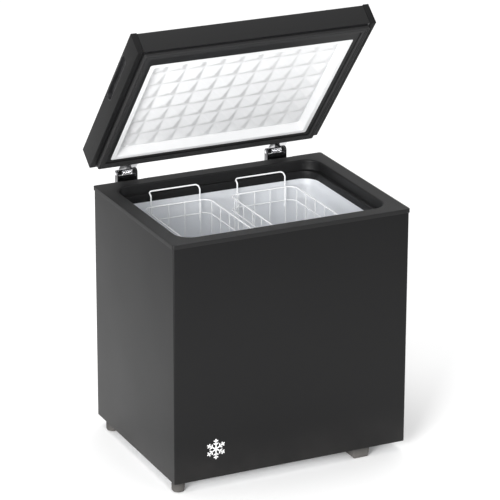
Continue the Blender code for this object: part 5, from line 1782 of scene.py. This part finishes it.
class FREEZER_OT_screws(bpy.types.Operator):
    """Set the screws of the rear sheet, the grille and the hinges"""

    bl_idname = "freezer.screws"
    bl_label = "Screws"

    def execute(self, context):
        rear, right = (0, 1, 0), (1, 0, 0)
        low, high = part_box("rear_panel")
        ends = (low.x + 16 * MM, high.x - 16 * MM)
        places = [
            ((x, high.y, z), rear)
            for x in (ends[0], *SCREW_COLUMNS, ends[1]) for z in (low.z + 12 * MM, high.z - 26 * MM)
        ]
        places += [((x, high.y, z), rear) for z in SCREW_ROWS for x in ends]
        low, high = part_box("compressor_grille")
        face = JOINTS["thermostat_turn"]["pos_m"][0]
        places += [
            ((face, y, z), right)
            for y in (low.y + 9 * MM, high.y - 9 * MM) for z in (low.z + 9 * MM, high.z - 9 * MM)
        ]
        for side, _ in SIDES:
            low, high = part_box(f"hinge_bracket_{side}")
            places += [
                ((x, low.y + 2.5 * MM, low.z + rise), rear)
                for x in (low.x + 18 * MM, high.x - 18 * MM) for rise in (12 * MM, 30 * MM)
            ]
        piece("cabinet_screws", self.heads(places), "chrome", "cabinet")
        places = []
        for side, _ in SIDES:
            low, high = shut_box(f"hinge_arm_{side}")
            places += [
                ((x, low.y + 2.5 * MM, high.z - drop), rear)
                for x in (low.x + 12 * MM, high.x - 12 * MM) for drop in (10 * MM, 34 * MM)
            ]
        wall = context.scene.freezer_lid.grip_wall
        for side, sign in SIDES:
            low, high = shut_box(f"grip_cup_{side}")
            deep = low.x + wall if sign > 0 else high.x - wall
            height = (low.z + high.z) / 2
            places += [
                ((deep, y, height), (sign, 0, 0)) for y in (low.y + 24 * MM, high.y - 36 * MM)
            ]
        lid_piece("lid_screws", self.heads(places), "chrome")
        return {"FINISHED"}

    def heads(self, screws):
        """Screw heads at pairs of (place, direction)."""
        places, facing = zip(*screws)
        return grown(
            screw_tree, "chrome", points_mesh(places, facing=facing), Head_Radius=4.2 * MM,
            Head_Height=1.9 * MM,
        )


# ---------------------------------------------------------------- stage


# Name, place, target, width in metres and power in watts.
LIGHTS = (
    ("key_light", (-3.9, -3.9, 1.9), (0, 0, 0.9), 2.0, 340),
    ("top_light", (0.6, 2.2, 8.0), (0.6, 2.2, 0.0), 7.0, 260),
)


class FREEZER_OT_stage(bpy.types.Operator):
    """Set the pale floor, the soft lights and the camera"""

    bl_idname = "freezer.stage"
    bl_label = "Studio"

    def execute(self, context):
        self.floor()
        self.sky(context.scene.freezer_stage)
        self.lights()
        self.camera(context)
        return {"FINISHED"}

    def floor(self):
        """A wide pale floor."""
        shape = bmesh.new()
        bmesh.ops.create_grid(shape, x_segments=8, y_segments=8, size=30.0)
        data = bpy.data.meshes.new("studio_floor")
        shape.to_mesh(data)
        shape.free()
        add, shader, place = new_material("studio_paper")
        body = grain(add, place, (0.97, 0.97, 0.97), 0.85, 300.0, 0.6, 0.01, 0.04)
        add.feed(shader, Base_Color=body["Colour"], Roughness=body["Roughness"])
        shader["Specular IOR Level"].default_value = 0.1
        data.materials.append(made_finishes["studio_paper"])
        item = bpy.data.objects.new("studio_floor", data)
        bpy.context.scene.collection.objects.link(item)

    def sky(self, stage):
        """A plain white surround."""
        world = bpy.data.worlds.new("studio_sky")
        world.use_nodes = True
        background = world.node_tree.nodes["Background"]
        background.inputs["Color"].default_value = (1.0, 1.0, 1.0, 1.0)
        background.inputs["Strength"].default_value = stage.sky
        bpy.context.scene.world = world

    def lights(self):
        """Two large soft lights: one high on the front left, one overhead."""
        for name, place, target, size, power in LIGHTS:
            data = bpy.data.lights.new(name, "AREA")
            data.shape, data.size, data.energy = "SQUARE", size, power
            item = bpy.data.objects.new(name, data)
            item.location = place
            direction = Vector(target) - Vector(place)
            item.rotation_euler = direction.to_track_quat("-Z", "Y").to_euler()
            bpy.context.scene.collection.objects.link(item)

    def camera(self, context):
        """The camera, at its angle, with a long lens."""
        stage = context.scene.freezer_stage
        turn, rise, roll = stage.azimuth, stage.elevation, stage.roll
        back = Vector((math.sin(turn) * math.cos(rise), -math.cos(turn) * math.cos(rise), math.sin(rise)))
        right = Vector((math.cos(turn), math.sin(turn), 0.0))
        up = back.cross(right)
        across = right * math.cos(roll) + up * math.sin(roll)
        upright = up * math.cos(roll) - right * math.sin(roll)
        data = bpy.data.cameras.new("camera")
        data.lens, data.sensor_width = stage.lens, 36.0
        item = bpy.data.objects.new("camera", data)
        item.matrix_world = Matrix.Translation(stage.position) @ Matrix((
            (across.x, upright.x, back.x, 0), (across.y, upright.y, back.y, 0),
            (across.z, upright.z, back.z, 0), (0, 0, 0, 1),
        ))
        context.scene.collection.objects.link(item)
        context.scene.camera = item
        context.scene.view_settings.view_transform = "Standard"


OPERATORS = (
    FREEZER_OT_shell, FREEZER_OT_collar, FREEZER_OT_tub, FREEZER_OT_rear, FREEZER_OT_cooling,
    FREEZER_OT_control, FREEZER_OT_drain, FREEZER_OT_feet, FREEZER_OT_badge, FREEZER_OT_lid_casing,
    FREEZER_OT_lid_underside, FREEZER_OT_hinges, FREEZER_OT_baskets, FREEZER_OT_screws, FREEZER_OT_stage,
)


class FREEZER_PT_panel(bpy.types.Panel):
    """The freezer's pieces and sizes"""

    bl_idname = "FREEZER_PT_panel"
    bl_label = "Chest Freezer"
    bl_space_type = "VIEW_3D"
    bl_region_type = "UI"
    bl_category = "Freezer"

    def draw(self, context):
        for name, group in GROUPS.items():
            column = self.layout.box().column()
            for field in group.__annotations__:
                column.prop(getattr(context.scene, name), field)
        for operator in OPERATORS:
            self.layout.operator(operator.bl_idname)


def register():
    """Add the classes and the scene's settings."""
    for item in (*GROUPS.values(), *OPERATORS, FREEZER_PT_panel):
        bpy.utils.register_class(item)
    for name, group in GROUPS.items():
        setattr(bpy.types.Scene, name, bpy.props.PointerProperty(type=group))


def unregister():
    """Take them away again."""
    for name in GROUPS:
        delattr(bpy.types.Scene, name)
    for item in (FREEZER_PT_panel, *reversed(OPERATORS), *GROUPS.values()):
        bpy.utils.unregister_class(item)


def main():
    """Build every piece in order."""
    register()
    for operator in OPERATORS:
        group, name = operator.bl_idname.split(".")
        getattr(getattr(bpy.ops, group), name)()


if __name__ == "__main__":
    main()
